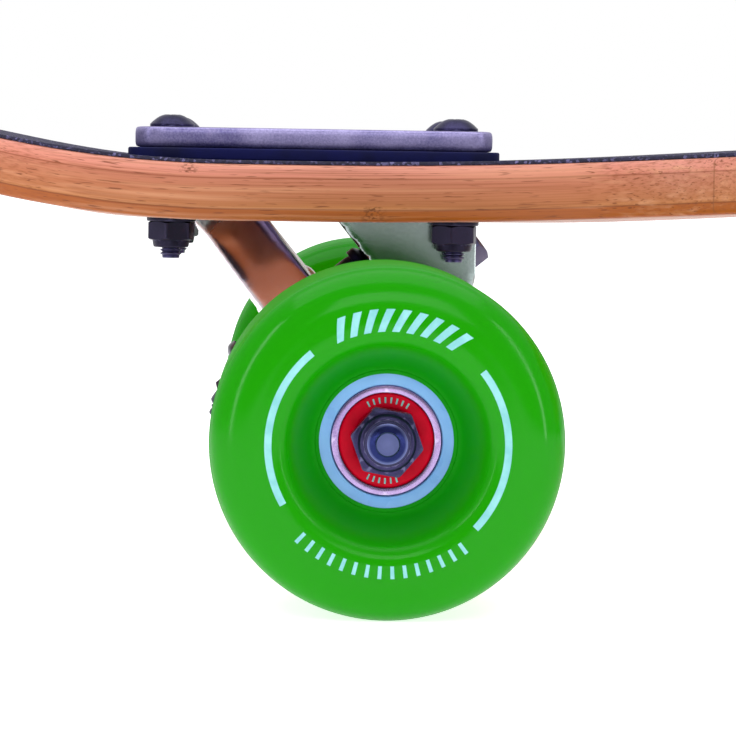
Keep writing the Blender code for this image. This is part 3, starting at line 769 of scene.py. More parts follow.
def keep(
    name: str,
    mesh: bpy.types.Mesh,
    finish: Finish,
    body: str | None,
    nodes: tuple[str, ...] = (),
    sharp: float = 32.0,
) -> bpy.types.Object:
    """Makes a mesh, already in its place, into a piece of the object.

    Args:
        name: The piece's name.
        mesh: Its mesh.
        finish: Its finish.
        body: The body that it rides on, or None if it will bend between two.
        nodes: The CAD nodes that it stands for.
        sharp: Angle in degrees over which an edge stays sharp.

    Returns:
        The piece.
    """
    mesh.name = name
    mesh.materials.clear()
    mesh.materials.append(finish.material())
    mesh.shade_smooth()
    mesh.set_sharp_from_angle(angle=radians(sharp))
    piece = shown(name, mesh)
    if body is not None:
        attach(piece, body)
    if nodes:
        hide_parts(*nodes)
    LOG.info("%s: %d faces, %s", name, len(mesh.polygons), finish.title)
    return piece


# Geometry Nodes for what repeats


def new_tree(name: str, sockets: dict[str, str]) -> bpy.types.NodeTree:
    """An empty Geometry Nodes tree with named inputs, a Finish input and a geometry output.

    Args:
        name: The tree's name.
        sockets: Kinds of its inputs by name.

    Returns:
        The tree.
    """
    tree = bpy.data.node_groups.new(name, "GeometryNodeTree")
    for title, kind in {**sockets, "Finish": "Material"}.items():
        tree.interface.new_socket(title, in_out="INPUT", socket_type=f"NodeSocket{kind}")
    tree.interface.new_socket("Geometry", in_out="OUTPUT", socket_type="NodeSocketGeometry")
    return tree


def end_tree(tree: bpy.types.NodeTree, shape: bpy.types.Node, finish: bpy.types.NodeSocket) -> None:
    """Ends a tree: its instances are made real, dressed and sent out.

    Args:
        tree: The tree.
        shape: The node that gives its shape.
        finish: The input that gives its material.
    """
    real = node(tree, REALISE, {"Geometry": shape})
    dressed = node(tree, "GeometryNodeSetMaterial", {"Geometry": real, "Material": finish})
    node(tree, "NodeGroupOutput", [dressed])


def realise(tree: bpy.types.NodeTree, values: dict[str, object], name: str) -> bpy.types.Mesh:
    """Runs a tree and returns its plain mesh.

    Args:
        tree: The tree.
        values: Its inputs by name.
        name: The mesh's name.

    Returns:
        The mesh.
    """
    holder = shown(name, bpy.data.meshes.new(name))
    modifier = holder.modifiers.new(name, "NODES")
    modifier.node_group = tree
    for item in tree.interface.items_tree:
        if item.item_type == "SOCKET" and item.in_out == "INPUT" and item.name in values:
            modifier[item.identifier] = values[item.name]
    graph = bpy.context.evaluated_depsgraph_get()
    mesh = bpy.data.meshes.new_from_object(holder.evaluated_get(graph))
    bpy.data.objects.remove(holder, do_unlink=True)
    mesh.name = name
    return mesh


def fastener_tree() -> bpy.types.NodeTree:
    """Sets one fastener on the four corners of the truck's bolt pattern.

    Returns:
        The tree.
    """
    tree = new_tree("bolt_pattern", {"Fastener": "Object", "Long spacing": "Float", "Wide spacing": "Float"})
    given = node(tree, "NodeGroupInput").outputs
    size = {"Size X": given["Long spacing"], "Size Y": given["Wide spacing"]}
    corner_points = node(tree, "GeometryNodeMeshGrid", {**size, "Vertices X": 2, "Vertices Y": 2})
    one = node(tree, "GeometryNodeObjectInfo", {"Object": given["Fastener"]}).outputs["Geometry"]
    end_tree(tree, node(tree, INSTANCES, {"Points": corner_points, "Instance": one}), given["Finish"])
    return tree


def print_tree() -> bpy.types.NodeTree:
    """Sets a row of equal marks round a circle, each bent to the circle and leaning by a slant.

    Returns:
        The tree.
    """
    sizes = ("Radius", "Middle", "Step", "Width", "Height", "Slant", "Level")
    tree = new_tree("printed_row", {"Count": "Int", "Columns": "Int", **dict.fromkeys(sizes, "Float")})
    given = node(tree, "NodeGroupInput").outputs
    gaps = node(tree, MATH, [given["Count"], 1.0], operation="SUBTRACT")
    span = node(tree, MATH, [gaps, given["Step"]], operation="MULTIPLY")
    first = node(tree, MATH, [span, -0.5], operation="MULTIPLY")
    start, offset = node(tree, COMBINE, [first]), node(tree, COMBINE, [given["Step"]])
    line = {"Count": given["Count"], "Start Location": start, "Offset": offset}
    row = node(tree, "GeometryNodeMeshLine", line)
    size = {"Size X": given["Width"], "Size Y": given["Height"]}
    mark = node(tree, "GeometryNodeMeshGrid", {**size, "Vertices X": given["Columns"], "Vertices Y": 6})
    flat = node(tree, REALISE, {"Geometry": node(tree, INSTANCES, {"Points": row, "Instance": mark})})
    place = node(tree, SEPARATE, [node(tree, "GeometryNodeInputPosition")]).outputs
    lean = node(tree, MATH, [place[1], given["Slant"], place[0]], operation="MULTIPLY_ADD")
    turn = node(tree, MATH, [lean, given["Radius"]], operation="DIVIDE")
    angle = node(tree, MATH, [given["Middle"], turn], operation="SUBTRACT")
    reach = node(tree, MATH, [place[1], given["Radius"]], operation="ADD")
    sides = []
    for operation in ("COSINE", "SINE"):
        share = node(tree, MATH, [angle], operation=operation)
        sides.append(node(tree, MATH, [reach, share], operation="MULTIPLY"))
    bent = node(tree, COMBINE, [*sides, given["Level"]])
    wrapped = node(tree, "GeometryNodeSetPosition", {"Geometry": flat, "Position": bent})
    end_tree(tree, wrapped, given["Finish"])
    return tree


@dataclass(frozen=True)
class PrintedRow:
    """A row of marks on a turned face: how many, where round it, and their size in millimetres."""

    count: int
    radius: float
    middle: float
    step: float
    width: float
    height: float
    slant: float = 0.0
    columns: int = 4

    def mesh(self, tree: bpy.types.NodeTree, face: bpy.types.Mesh, level: float) -> bpy.types.Mesh:
        """The marks as a thin film laid on a face.

        Args:
            tree: The tree that sets out a row.
            face: The mesh that the film lies on, in the same frame.
            level: A height clear above the face.

        Returns:
            The film's mesh.
        """
        values = {
            "Count": self.count,
            "Columns": self.columns,
            "Radius": self.radius * MM,
            "Middle": radians(self.middle),
            "Step": self.step * MM,
            "Width": self.width * MM,
            "Height": self.height * MM,
            "Slant": self.slant,
            "Level": level,
            "Finish": INK.material(),
        }
        flat = realise(tree, values, "print")
        under = shown("under_print", face)
        laid = modified(
            flat,
            "SHRINKWRAP",
            target=under,
            wrap_method="PROJECT",
            wrap_mode="ABOVE_SURFACE",
            use_project_z=True,
            use_positive_direction=False,
            use_negative_direction=True,
            offset=0.04 * MM,
        )
        bpy.data.objects.remove(under, do_unlink=True)
        return modified(laid, "SOLIDIFY", thickness=0.07 * MM, offset=-1.0)


# Deck


@dataclass
class Deck:
    """The laminated deck and its grip tape: outline, side view, edges and truck openings."""

    length: float = 1.016
    width: float = 0.240
    thickness: float = 0.012
    neck: float = 0.065
    neck_start: float = 0.3457
    flare: float = 0.100
    tip: float = 0.070
    tip_power: float = 2.4
    seat_x: float = 0.400
    kick_start: float = 0.036
    kick_bend: float = 0.018
    kick_angle: float = radians(12)
    camber_start: float = 0.042
    camber_length: float = 0.120
    camber_rise: float = 0.0055
    flat_half: float = 0.029
    bow_start: float = 0.018
    bow_length: float = 0.050
    bow_slope: float = 0.196
    rail_length: float = 0.198
    rail_rise: float = 0.0080
    columns: int = 24
    edge: float = 0.0011
    grip_thickness: float = 0.0008
    grip_inset: float = 0.0006

    def half_width(self, x: float, inset: float) -> float:
        """Half the width: a wide middle, a neck between the wheels, and a round tip.

        Args:
            x: Place along the board.
            inset: How far to stop short of the outline.

        Returns:
            Half the width there.
        """
        tip_start = self.length / 2 - self.tip
        share = min(max((self.neck_start - abs(x)) / self.flare, 0), 1)
        blend = share * share * (3 - 2 * share)
        width = self.neck + (self.width / 2 - self.neck) * blend
        if abs(x) > tip_start:
            along = min((abs(x) - tip_start) / (self.tip - inset), 1)
            width = (width - inset) * (1 - along**self.tip_power) ** (1 / self.tip_power) + inset
        return width - inset

    def middle_rise(self, x: float) -> float:
        """Height of the deck's middle over its flat truck seats: kicked tips and a slight camber.

        Args:
            x: Place along the board.

        Returns:
            The height.
        """
        outward = abs(x) - self.seat_x - self.kick_start
        if outward > 0:
            bend = min(outward, self.kick_bend)
            return tan(self.kick_angle) * (bend * bend / (2 * self.kick_bend) + outward - bend)
        inward = min(max(self.seat_x - self.camber_start - abs(x), 0), self.camber_length)
        return self.camber_rise * (1 - cos(pi * inward / self.camber_length)) / 2

    def rail_rise_at(self, x: float) -> float:
        """Height of the deck's two rails, which bow in one long curve where the middle stays flat.

        Args:
            x: Place along the board.

        Returns:
            The height over the truck seats.
        """
        outward = abs(x) - self.seat_x - self.bow_start
        if outward > 0:
            bend = min(outward, self.bow_length)
            return self.bow_slope * (bend * bend / (2 * self.bow_length) + outward - bend)
        inward = min(max(self.seat_x - abs(x), 0), self.rail_length)
        return self.rail_rise * (1 - cos(pi * inward / self.rail_length)) / 2

    def rise(self, x: float, y: float) -> float:
        """Height over the truck seats at a point: flat across the middle, bowed up to the rails.

        Args:
            x: Place along the board.
            y: Place across it.

        Returns:
            The height.
        """
        reach = max(self.half_width(x, 0) - self.flat_half, 0.001)
        share = min(max((abs(y) - self.flat_half) / reach, 0), 1) ** 2
        return self.middle_rise(x) * (1 - share) + self.rail_rise_at(x) * share

    def stations(self, inset: float) -> list[float]:
        """Where the cross sections are: close together, and closer still towards the tips.

        Args:
            inset: How far the sheet stops short of the outline.

        Returns:
            The x of each, in order.
        """
        tip_start = self.length / 2 - self.tip
        half = [tip_start * i / 110 for i in range(111)]
        half += [tip_start + (self.tip - inset) * sin(pi / 2 * i / 24) for i in range(1, 25)]
        return [-x for x in reversed(half[1:])] + half

    def sheet(
        self, name: str, base: float, low: float, high: float, inset: float, edge: float
    ) -> bpy.types.Mesh:
        """A sheet that follows the outline and the side view, with rounded edges.

        Args:
            name: The mesh's name.
            base: Height of the deck's underside at its truck seats.
            low: Height of the sheet's underside over that.
            high: Height of its top over that.
            inset: How far it stops short of the deck's outline.
            edge: Radius of its edges.

        Returns:
            The mesh.
        """
        turns = [pi / 2 * i / 3 for i in range(4)]
        levels = [(inset + edge * (1 - sin(a)), low + edge * (1 - cos(a))) for a in turns]
        levels += [(shrink, low + high - height) for shrink, height in reversed(levels)]
        form = bmesh.new()
        rings = []
        for shrink, height in levels:
            stations = self.stations(shrink)
            rows = []
            for side in (1, -1):
                order = stations if side > 0 else stations[::-1]
                for x in order:
                    y = side * self.half_width(x, shrink)
                    rows.append(form.verts.new((x, y, base + height + self.rise(x, y))))
            rings.append(rows)
        count = len(rings[0])
        for lower, upper in zip(rings, rings[1:]):
            for i in range(count):
                j = (i + 1) % count
                form.faces.new((lower[i], lower[j], upper[j], upper[i]))
        for rows, height in ((rings[0], low), (rings[-1], high)):
            lines = []
            for i in range(count // 2):
                first, last = rows[i], rows[count - 1 - i]
                line = [first]
                for step in range(1, self.columns):
                    y = first.co.y + (last.co.y - first.co.y) * step / self.columns
                    line.append(form.verts.new((first.co.x, y, base + height + self.rise(first.co.x, y))))
                lines.append(line + [last])
            for here, there in zip(lines, lines[1:]):
                for step in range(self.columns):
                    form.faces.new((here[step], there[step], there[step + 1], here[step + 1]))
        bmesh.ops.remove_doubles(form, verts=form.verts, dist=1e-6)
        bmesh.ops.recalc_face_normals(form, faces=form.faces)
        return taken(form, name)

    def build(self, trucks: list["Truck"]) -> None:
        """Makes the deck and the grip tape, each with an opening for every truck.

        Args:
            trucks: The trucks that drop through.
        """
        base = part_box("deck")[0].z
        cutters = [truck.deck_cutter(base) for truck in trucks]
        wood = combine(self.sheet("deck", base, 0, self.thickness, 0, self.edge), Cut.REMOVE, *cutters)
        flat = wood.attributes.new("flat_position", "FLOAT_VECTOR", "POINT")
        for vertex, value in zip(wood.vertices, flat.data):
            x, y, z = vertex.co
            value.vector = (x, y, z - base - self.rise(x, y))
        keep("bamboo_deck", wood, BAMBOO, "root", ("deck",))
        top = self.thickness + self.grip_thickness
        tape = self.sheet("grip", base, self.thickness, top, self.grip_inset, 0.0003)
        keep("grip_sheet", combine(tape, Cut.REMOVE, *cutters), GRIP, "root", ("grip_tape",))


# Trucks


@dataclass
class Truck:
    """One truck: base plate, riser pad, fasteners, kingpin with its bushings, hanger and axle."""

    end: End
    fasteners: bpy.types.NodeTree
    bolts_long: float = 0.0635
    bolts_wide: float = 0.0413
    bolts_x: float = -0.0143
    plate_thickness: float = 0.0046
    plate_corner: float = 0.0060
    lip: float = 0.0022
    clearance: float = 0.0006
    boss_width: float = 0.028
    boss_corner: float = 0.027
    ring_distance: float = 0.0173
    bushing_radius: float = 0.0125
    bushing_height: float = 0.0129
    seat: float = 0.0045
    seat_radius: float = 0.0131
    boss_seat: float = 0.0194
    washer: float = 0.0016
    kingpin_radius: float = 0.0047
    kingpin_flats: float = 0.0143
    head_start: float = 0.0359
    head_height: float = 0.0063
    slab_thickness: float = 0.014
    arm: float = 0.070
    hanger_half: float = 0.090
    pivot_radius: float = 0.0055
    pivot_length: float = 0.067
    cup_radius: float = 0.0077
    cup_mouth: float = 0.0610
    socket_half: float = 0.0100
    axle_radius: float = 0.0040
    mount_flats: float = 0.0095
    mount_washer: float = 0.0011

    def __post_init__(self) -> None:
        """Takes the truck's place from its steering joint and its heights from its CAD boxes."""
        joints = {joint["name"]: joint for joint in frame["record"]["behaviour"]["joints"]}
        steer = joints[f"{self.label}_steer"]
        facing = Matrix.Rotation(0 if self.end is End.FRONT else pi, 4, "Z")
        self.angle = atan2(steer["axis"][2], abs(steer["axis"][0]))
        self.origin = Vector(steer["pos_m"])
        self.truck = Matrix.Translation(self.origin) @ facing
        self.steering = self.truck @ Matrix.Rotation(self.angle - pi / 2, 4, "Y")
        turn = Matrix.Rotation(pi / 2, 4, "Y")
        self.kingpin = self.steering @ Matrix.Translation((0, 0, self.ring_distance)) @ turn
        self.plate_top = self.height("base_plate", 1)
        self.plate_bottom = self.plate_top - self.plate_thickness
        low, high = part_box(f"{self.label}_base_plate")
        self.plate_half_x = (high.x - low.x) / 2
        self.plate_half_y = (high.y - low.y) / 2
        self.wood_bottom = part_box("deck")[0].z - self.origin.z
        self.opening_out = self.bolts_x - self.plate_half_x + self.lip
        self.opening_in = self.bolts_x + self.plate_half_x - self.lip

    @property
    def label(self) -> str:
        """front or rear."""
        return self.end.name.lower()

    def height(self, node_name: str, corner: int) -> float:
        """The lowest or highest z of one of this truck's CAD nodes, over the axle."""
        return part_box(f"{self.label}_{node_name}")[corner].z - self.origin.z

    def add(self, name: str, mesh: bpy.types.Mesh, finish: Finish, slot: str, nodes: tuple[str, ...] = (), *,
            at: Matrix | None = None, moving: bool = False, sharp: float = 32.0) -> bpy.types.Object:
        """Places one mesh of this truck and keeps it.

        Args:
            name: The piece's name after the end's.
            mesh: The mesh, in the frame given by at.
            finish: Its finish.
            slot: The record's material slot; not used.
            nodes: CAD nodes that it stands for, without the end's name.
            at: The mesh's own frame, or None for the truck's frame.
            moving: Whether it turns with the hanger.
            sharp: Angle over which an edge stays sharp.

        Returns:
            The piece.
        """
        body = f"{self.label}_hanger_set" if moving else "root"
        own = tuple(f"{self.label}_{part}" for part in nodes)
        there = placed(mesh, self.truck if at is None else at)
        return keep(f"{self.label}_{name}", there, finish, body, own, sharp)

    def steering_point(self, distance: float, offset: float) -> Pair:
        """Turns a place by the steering axis into one in the truck's frame.

        Args:
            distance: Distance up the axis.
            offset: Distance from it.

        Returns:
            x and z.
        """
        return (
            offset * sin(self.angle) - distance * cos(self.angle),
            distance * sin(self.angle) + offset * cos(self.angle),
        )

    def opening_outline(self, slack: float = 0.0) -> Outline:
        """The opening in the deck: a slot between the bolts, wider in its middle.

        Args:
            slack: How much larger to make it all round.

        Returns:
            Its corners, rounded.
        """
        slot = self.boss_width / 2 + self.clearance + slack
        wing = self.plate_half_y - 2 * self.lip + slack
        wing_out = self.bolts_x - self.bolts_long / 2 + 0.0096 - slack
        wing_in = self.bolts_x + self.bolts_long / 2 - 0.0096 + slack
        inner = self.opening_in + slack
        outer = self.opening_out - slack
        half = [(inner, slot), (wing_in, slot), (wing_in, wing)]
        half += [(wing_out, wing), (wing_out, slot), (outer, slot)]
        return fillet(half + [(x, -y) for x, y in reversed(half)], 0.0015, 3, closed=True)

    def bolt_circles(self, radius: float) -> list[Outline]:
        """A round hole at each mounting bolt.

        Args:
            radius: The holes' radius.

        Returns:
            The four outlines.
        """
        return [
            circle(radius, 24, self.bolts_x + a * self.bolts_long / 2, b * self.bolts_wide / 2)
            for a in (-1, 1)
            for b in (-1, 1)
        ]

    def deck_cutter(self, base: float) -> bpy.types.Mesh:
        """What this truck removes from the deck and the grip tape.

        Args:
            base: Height of the deck's underside at its truck seats.

        Returns:
            The cutters in one mesh.
        """
        low = base - self.origin.z - 0.01
        tools = [plate("opening", [self.opening_outline()], low, low + 0.04)]
        tools += [plate("hole", [hole], low, low + 0.04) for hole in self.bolt_circles(0.0028)]
        return placed(joined("openings", tools), self.truck)

    def upright(self, outline: Outline, half: float) -> bpy.types.Mesh:
        """A solid with an (x, z) outline, centred on y = 0.

        Args:
            outline: The outline.
            half: Half its width.

        Returns:
            The mesh.
        """
        mesh = plate("upright", [outline], -half, half)
        mesh.transform(Matrix.Rotation(pi / 2, 4, "X"))
        return mesh

    def in_truck(self, at: Matrix) -> Matrix:
        """Turns a world frame of this truck into one relative to the truck's frame."""
        return self.truck.inverted() @ at

    def base_plate(self) -> None:
        """The cast plate with its kingpin boss and pivot socket, bored for the kingpin and the cup."""
        low, high = self.plate_bottom, self.plate_top
        left, right = self.bolts_x - self.plate_half_x, self.bolts_x + self.plate_half_x
        edge = fillet(box_outline(left, right, self.plate_half_y), self.plate_corner, 8, closed=True)
        slab = plate("plate", [edge], low, high, 0.0006)
        lap = low + 0.0015
        up = (lap - self.boss_seat * cos(self.angle)) / sin(self.angle)
        inner = self.opening_in - self.clearance
        heel = self.steering_point(self.ring_distance - self.seat_radius - 0.0006, self.boss_seat)
        boss = [heel, (inner, self.boss_corner), (inner, lap), self.steering_point(up, self.boss_seat)]
        boss_mesh = self.upright(fillet(boss, 0.0028, 5, closed=True), self.boss_width / 2)
        outer = self.opening_out + self.clearance
        reach = (-outer - self.socket_half * sin(self.angle)) / cos(self.angle)
        far = self.steering_point(self.cup_mouth, self.socket_half)
        socket = [
            (outer, self.steering_point(reach, -self.socket_half)[1]),
            self.steering_point(self.cup_mouth, -self.socket_half),
            far,
            (far[0] + 0.0020, lap),
            (outer, lap),
        ]
        socket_mesh = self.upright(fillet(socket, 0.0012, 4, closed=True), self.socket_half)
        body = cast(joined("base", [slab, boss_mesh, socket_mesh]), 0.6 * MM, 6)
        pin = self.in_truck(self.kingpin)
        bore = placed(rod("bore", self.kingpin_radius + 0.0003, 0, 0.060), pin)
        pocket = placed(rod("pocket", self.kingpin_flats / 2 / cos(pi / 6) + 0.0006, 0.0359, 0.060), pin)
        hole = placed(rod("hole", self.cup_radius + 0.0001, 0.040, 0.0694), self.in_truck(self.steering))
        bolts = [plate("bolt_hole", [spot], low - 0.001, high + 0.001) for spot in self.bolt_circles(0.0027)]
        # The two shallow weight-saving pockets in the top face.
        wells = []
        for x in (left + 0.0265, right - 0.0265):
            corners = fillet(box_outline(x - 0.0095, x + 0.0095, 0.0115), 0.0040, 6, closed=True)
            wells.append(plate("well", [corners], high - 0.0014, high + 0.002, 0.0006))
        body = combine(body, Cut.REMOVE, bore, pocket, hole, *bolts, *wells)
        casting = self.add("base_plate_casting", body, CAST_ALLOY, "satin_alloy", ("base_plate",), sharp=40)
        casting.data.materials.append(LINISHED_ALLOY_PAINTED_GREEN.material())
        # The faces under the deck take the linished finish, whose green tint is a painted reflection of the
        # wheels.
        side_level = self.truck.translation.z + self.wood_bottom + 0.006
        for face in casting.data.polygons:
            face.material_index = int(face.center.z < side_level)

    def riser_pad(self) -> None:
        """The rubber pad between the grip tape and the plate, a little larger than the plate."""
        low = self.wood_bottom + 0.0128
        left, right = self.bolts_x - self.plate_half_x - 0.0015, self.bolts_x + self.plate_half_x + 0.0015
        edge = fillet(box_outline(left, right, self.plate_half_y + 0.0015), self.plate_corner, 8, closed=True)
        opening = self.opening_outline()
        pad = plate("pad", [edge, opening, *self.bolt_circles(0.0027)], low, self.plate_bottom, 0.0004)
        self.add("riser", pad, PAD, "pad_rubber", ("riser_pad",))

    def in_pattern(self, name: str, fastener: bpy.types.Mesh, finish: Finish, slot: str, nodes: str) -> None:
        """Sets one fastener, made round Z in the truck's heights, at all four bolts.

        Args:
            name: The piece's name after the end's.
            fastener: The mesh of one.
            finish: Its finish.
            slot: The record's material slot.
            nodes: Start of the names of the CAD nodes that it stands for, or nothing.
        """
        holder = shown(name, fastener)
        values = {
            "Fastener": holder,
            "Long spacing": self.bolts_long,
            "Wide spacing": self.bolts_wide,
            "Finish": finish.material(),
        }
        four = realise(self.fasteners, values, name)
        bpy.data.objects.remove(holder, do_unlink=True)
        four.transform(Matrix.Translation((self.bolts_x, 0, 0)))
        names = tuple(f"{nodes}_{i}" for i in range(1, 5)) if nodes else ()
        self.add(name, four, finish, slot, names)

    def mounting(self) -> None:
        """The four socket-head bolts through the deck, each with its washer and lock nut."""
        top, low = self.plate_top, self.height("mount_bolt_1", 0)
        dome = [(0.0, 2.85), (1.6, 2.78), (2.7, 2.42), (3.6, 1.86)]
        dome += [(4.4, 1.18), (4.95, 0.66), (5.0, 0.5), (5.0, 0.0)]
        profile = [(r * MM, top + h * MM) for r, h in dome] + [(0.0024, top)]
        profile += thread(0.0024, top - 0.006, low + 0.0004, 0.8 * MM)
        profile += [(0.0019, low), (0.0, low)]
        bolt = lathe("bolt", fillet(profile[:9], 0.0004, 3) + profile[9:], 48)
        recess = plate("recess", [circle(0.00185, 6, turn=0.3)], top + 0.0010, top + 0.0045)
        bolt = combine(bolt, Cut.REMOVE, recess)
        self.in_pattern("mount_bolts", bolt, BLACK_STEEL, "bolt_steel", "mount_bolt")
        nut_low, wood = self.height("mount_nut_1", 0), self.wood_bottom
        disc = ring(0.0055, 0.0026, wood - self.mount_washer, wood, 0.0003)
        washer = lathe("washer", disc, 48, closed=True)
        # The washers and the nuts take the darker black steel, its darkness painted shade under the deck.
        self.in_pattern("mount_washers", washer, SHADED_BLACK_STEEL, "zinc_steel", "")
        nut_top = wood - self.mount_washer
        block = chamfered_hexagon("nut", self.mount_flats, nut_low + 0.0016, nut_top, 0.35)
        collar = [(0, nut_top - 0.002), (0.0042, nut_top - 0.002), (0.0042, nut_low + 0.0016)]
        collar += [(0.0039, nut_low), (0, nut_low)]
        nut = combine(block, Cut.JOIN, lathe("collar", fillet(collar, 0.0004, 3), 48))
        nut = combine(nut, Cut.REMOVE, rod("bore", 0.00245, nut_low - 0.001, nut_top + 0.001, 32))
        self.in_pattern("mount_nuts", nut, SHADED_BLACK_STEEL, "zinc_steel", "mount_nut")

    def kingpin_set(self) -> None:
        """The kingpin with its head in the boss, its two washers and the lock nut under the hanger."""
        nut_top = -self.boss_seat
        nut_low = nut_top - 0.0098
        end = nut_low - 0.0020
        shaft = [(0, self.head_start + 0.001), (self.kingpin_radius, self.head_start + 0.001)]
        shaft += thread(self.kingpin_radius, -0.012, end + 0.0006, 1.25 * MM)
        shaft += [(self.kingpin_radius - 0.001, end), (0, end)]
        head_end = self.head_start + self.head_height
        head = chamfered_hexagon("head", self.kingpin_flats, self.head_start, head_end)
        pin = combine(head, Cut.JOIN, lathe("shaft", shaft, 48))
        dimple = lathe("dimple", [(0, 0.0410), (0.0050, self.head_start + 0.0064), (0, 0.0450)], 48)
        pin = combine(pin, Cut.REMOVE, dimple)
        self.add("kingpin_bolt", pin, BLACK_STEEL, "black_steel", ("kingpin",), at=self.kingpin)
        block = chamfered_hexagon("nut", self.kingpin_flats, nut_low + 0.0028, nut_top)
        collar = [(0, nut_top - 0.003), (0.0066, nut_top - 0.003), (0.0066, nut_low + 0.0026)]
        collar += [(0.0058, nut_low), (0, nut_low)]
        nut = combine(block, Cut.JOIN, lathe("collar", fillet(collar, 0.0006, 3), 48))
        nut = combine(nut, Cut.REMOVE, rod("bore", 0.0048, nut_low - 0.001, nut_top + 0.001, 48))
        self.add("kingpin_lock_nut", nut, BLACK_STEEL, "zinc_steel", ("kingpin_nut",), at=self.kingpin)
        for place, flip in (("board", 0.0), ("road", pi)):
            # A cupped washer: flat in the middle, its rim turned over the bushing.
            high, low = self.boss_seat, self.boss_seat - self.washer
            cup = [(0.0050, high), (0.0118, high), (0.0131, high - 0.0012), (0.0131, low - 0.0014)]
            cup += [(0.0128, low - 0.0014), (0.0126, low - 0.0001), (0.0050, low - 0.0001)]
            disc = lathe("washer", fillet(cup, 0.0005, 3, closed=True), 96, closed=True)
            at = self.kingpin @ Matrix.Rotation(flip, 4, "X")
            own = (f"{place}side_washer",)
            self.add(f"{place}side_cup_washer", disc, BLACK_TURNED, "zinc_steel", own, at=at)

    def bushings(self) -> None:
        """The two urethane bushings, held still by their washers and twisted by the hanger."""
        for place, flip in (("board", 0.0), ("road", pi)):
            low, high = self.seat, self.seat + self.bushing_height
            rim, waist = self.bushing_radius - 0.0006, self.bushing_radius - 0.0002
            barrel = [(0.0050, low), (rim, low), (waist, low + 0.002)]
            barrel += [(waist, high - 0.002), (rim, high), (0.0050, high)]
            rounded = fillet(barrel, 0.0009, 4, closed=True)
            # Rings every 0.9 mm give the twist enough points to follow.
            section = []
            for (x, y), (next_x, next_y) in zip(rounded, rounded[1:] + rounded[:1]):
                parts = max(1, round(hypot(next_x - x, next_y - y) / 0.0009))
                for share in (i / parts for i in range(parts)):
                    section.append((x + (next_x - x) * share, y + (next_y - y) * share))
            at = self.kingpin @ Matrix.Rotation(flip, 4, "X")
            mesh = placed(lathe("bushing", section, 72, closed=True), at)
            name, own = (f"{self.label}_{place}side_{noun}" for noun in ("cushion", "bushing"))
            piece = keep(name, mesh, BUSHING, None, (own,))
            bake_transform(piece)

    def pivot_cup(self) -> None:
        """The nylon cup that holds the hanger's pivot in its socket."""
        top, mouth = self.pivot_length + 0.0022, self.cup_mouth - 0.0004
        seat = self.pivot_length + 0.0004
        section = [(0, top), (self.cup_radius, top), (self.cup_radius, mouth)]
        section = fillet(section + [(0.0059, mouth), (0.0059, seat)], 0.0006, 3) + [(0, seat)]
        self.add("pivot_seat", lathe("cup", section, 64), NYLON, "nylon", ("pivot_cup",), at=self.steering)

    def hanger(self) -> None:
        """The polished hanger: a flat slab on the axle beam, ringed for the bushings, ending in the pivot."""
        half, up = self.slab_thickness / 2, self.ring_distance
        right = [(self.arm, -0.0066), (self.arm, 0.0066), (0.033, up), (0.025, up + 0.014), (0.0125, 0.0485)]
        right += [(self.pivot_radius + 0.0015, 0.0585)]
        outline = [*right, *[(-x, y) for x, y in reversed(right)]]
        edge = fillet(outline + [(0.0, -0.0092)], 0.0090, 8, closed=True)
        slab = plate("slab", [edge], -half, half, 0.0018)
        slab.transform(Matrix.Rotation(pi / 2, 4, "Z") @ Matrix.Rotation(pi / 2, 4, "X"))
        to_y = Matrix.Rotation(-pi / 2, 4, "X")
        wing = [(0.0, self.hanger_half), (0.0076, self.hanger_half), (0.0080, self.hanger_half - 0.0006)]
        wing += [(0.0086, 0.0780), (0.0090, 0.0740), (0.0098, 0.045), (0.0104, 0.015)]
        section = wing + [(r, -h) for r, h in reversed(wing)]
        beam = placed(lathe("beam", section, 96), to_y)
        nose = [(0, 0.0668), (0.0032, 0.0668), (0.0055, 0.0640), (0.0055, 0.050), (0, 0.050)]
        pivot = lathe("pivot", fillet(nose, 0.0012, 4), 64)
        turn = Matrix.Translation((0, 0, up)) @ Matrix.Rotation(pi / 2, 4, "Y")
        disc = fillet([(0, -0.0080), (0.0162, -0.0080), (0.0162, 0.0080), (0, 0.0080)], 0.0010, 3)
        collar = placed(lathe("collar", disc, 96), turn)
        body = cast(joined("hanger", [slab, beam, pivot, collar]), 0.75 * MM, 6)
        waist = [(0, 0.020), (self.seat_radius, 0.020), (self.seat_radius, self.seat), (0.0090, self.seat)]
        waist += [(r, -h) for r, h in reversed(waist)]
        ring_cut = placed(lathe("ring", waist, 96), turn)
        bore = placed(rod("bore", self.axle_radius + 0.0001, -0.1, 0.1, 48), to_y)
        body = combine(body, Cut.REMOVE, ring_cut, bore)
        own = ("hanger",)
        at = self.steering
        self.add("hanger_casting", body, POLISHED_ALLOY, "bright_alloy", own, at=at, moving=True, sharp=40)

    def axle(self) -> None:
        """The steel axle with its threaded ends, and the thin speed washers beside the bearings."""
        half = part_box(f"{self.label}_axle")[1].y
        tip = [(0, half), (0.0022, half), (0.0024, half - 0.0002)]
        tip += [(0.0024, half - 0.0009), (0.0030, half - 0.0013)]
        side = tip + thread(self.axle_radius, half - 0.0016, half - 0.0096, 1.0 * MM)
        section = side + [(r, -h) for r, h in reversed(side)]
        to_y = Matrix.Rotation(-pi / 2, 4, "X")
        at = self.steering @ to_y
        rod_mesh = lathe("axle", section, 48)
        self.add("axle_rod", rod_mesh, ZINC_STEEL, "axle_steel", ("axle",), at=at, moving=True)
        discs = []
        for sign in (-1, 1):
            for low, high in ((0.0900, 0.0910), (0.1150, 0.1160)):
                section = ring(0.0062, 0.0041, sign * low, sign * high, 0.0002)
                discs.append(lathe("disc", section, 48, closed=True))
        self.add("speed_washers", joined("discs", discs), ZINC_STEEL, "axle_steel", at=at, moving=True)

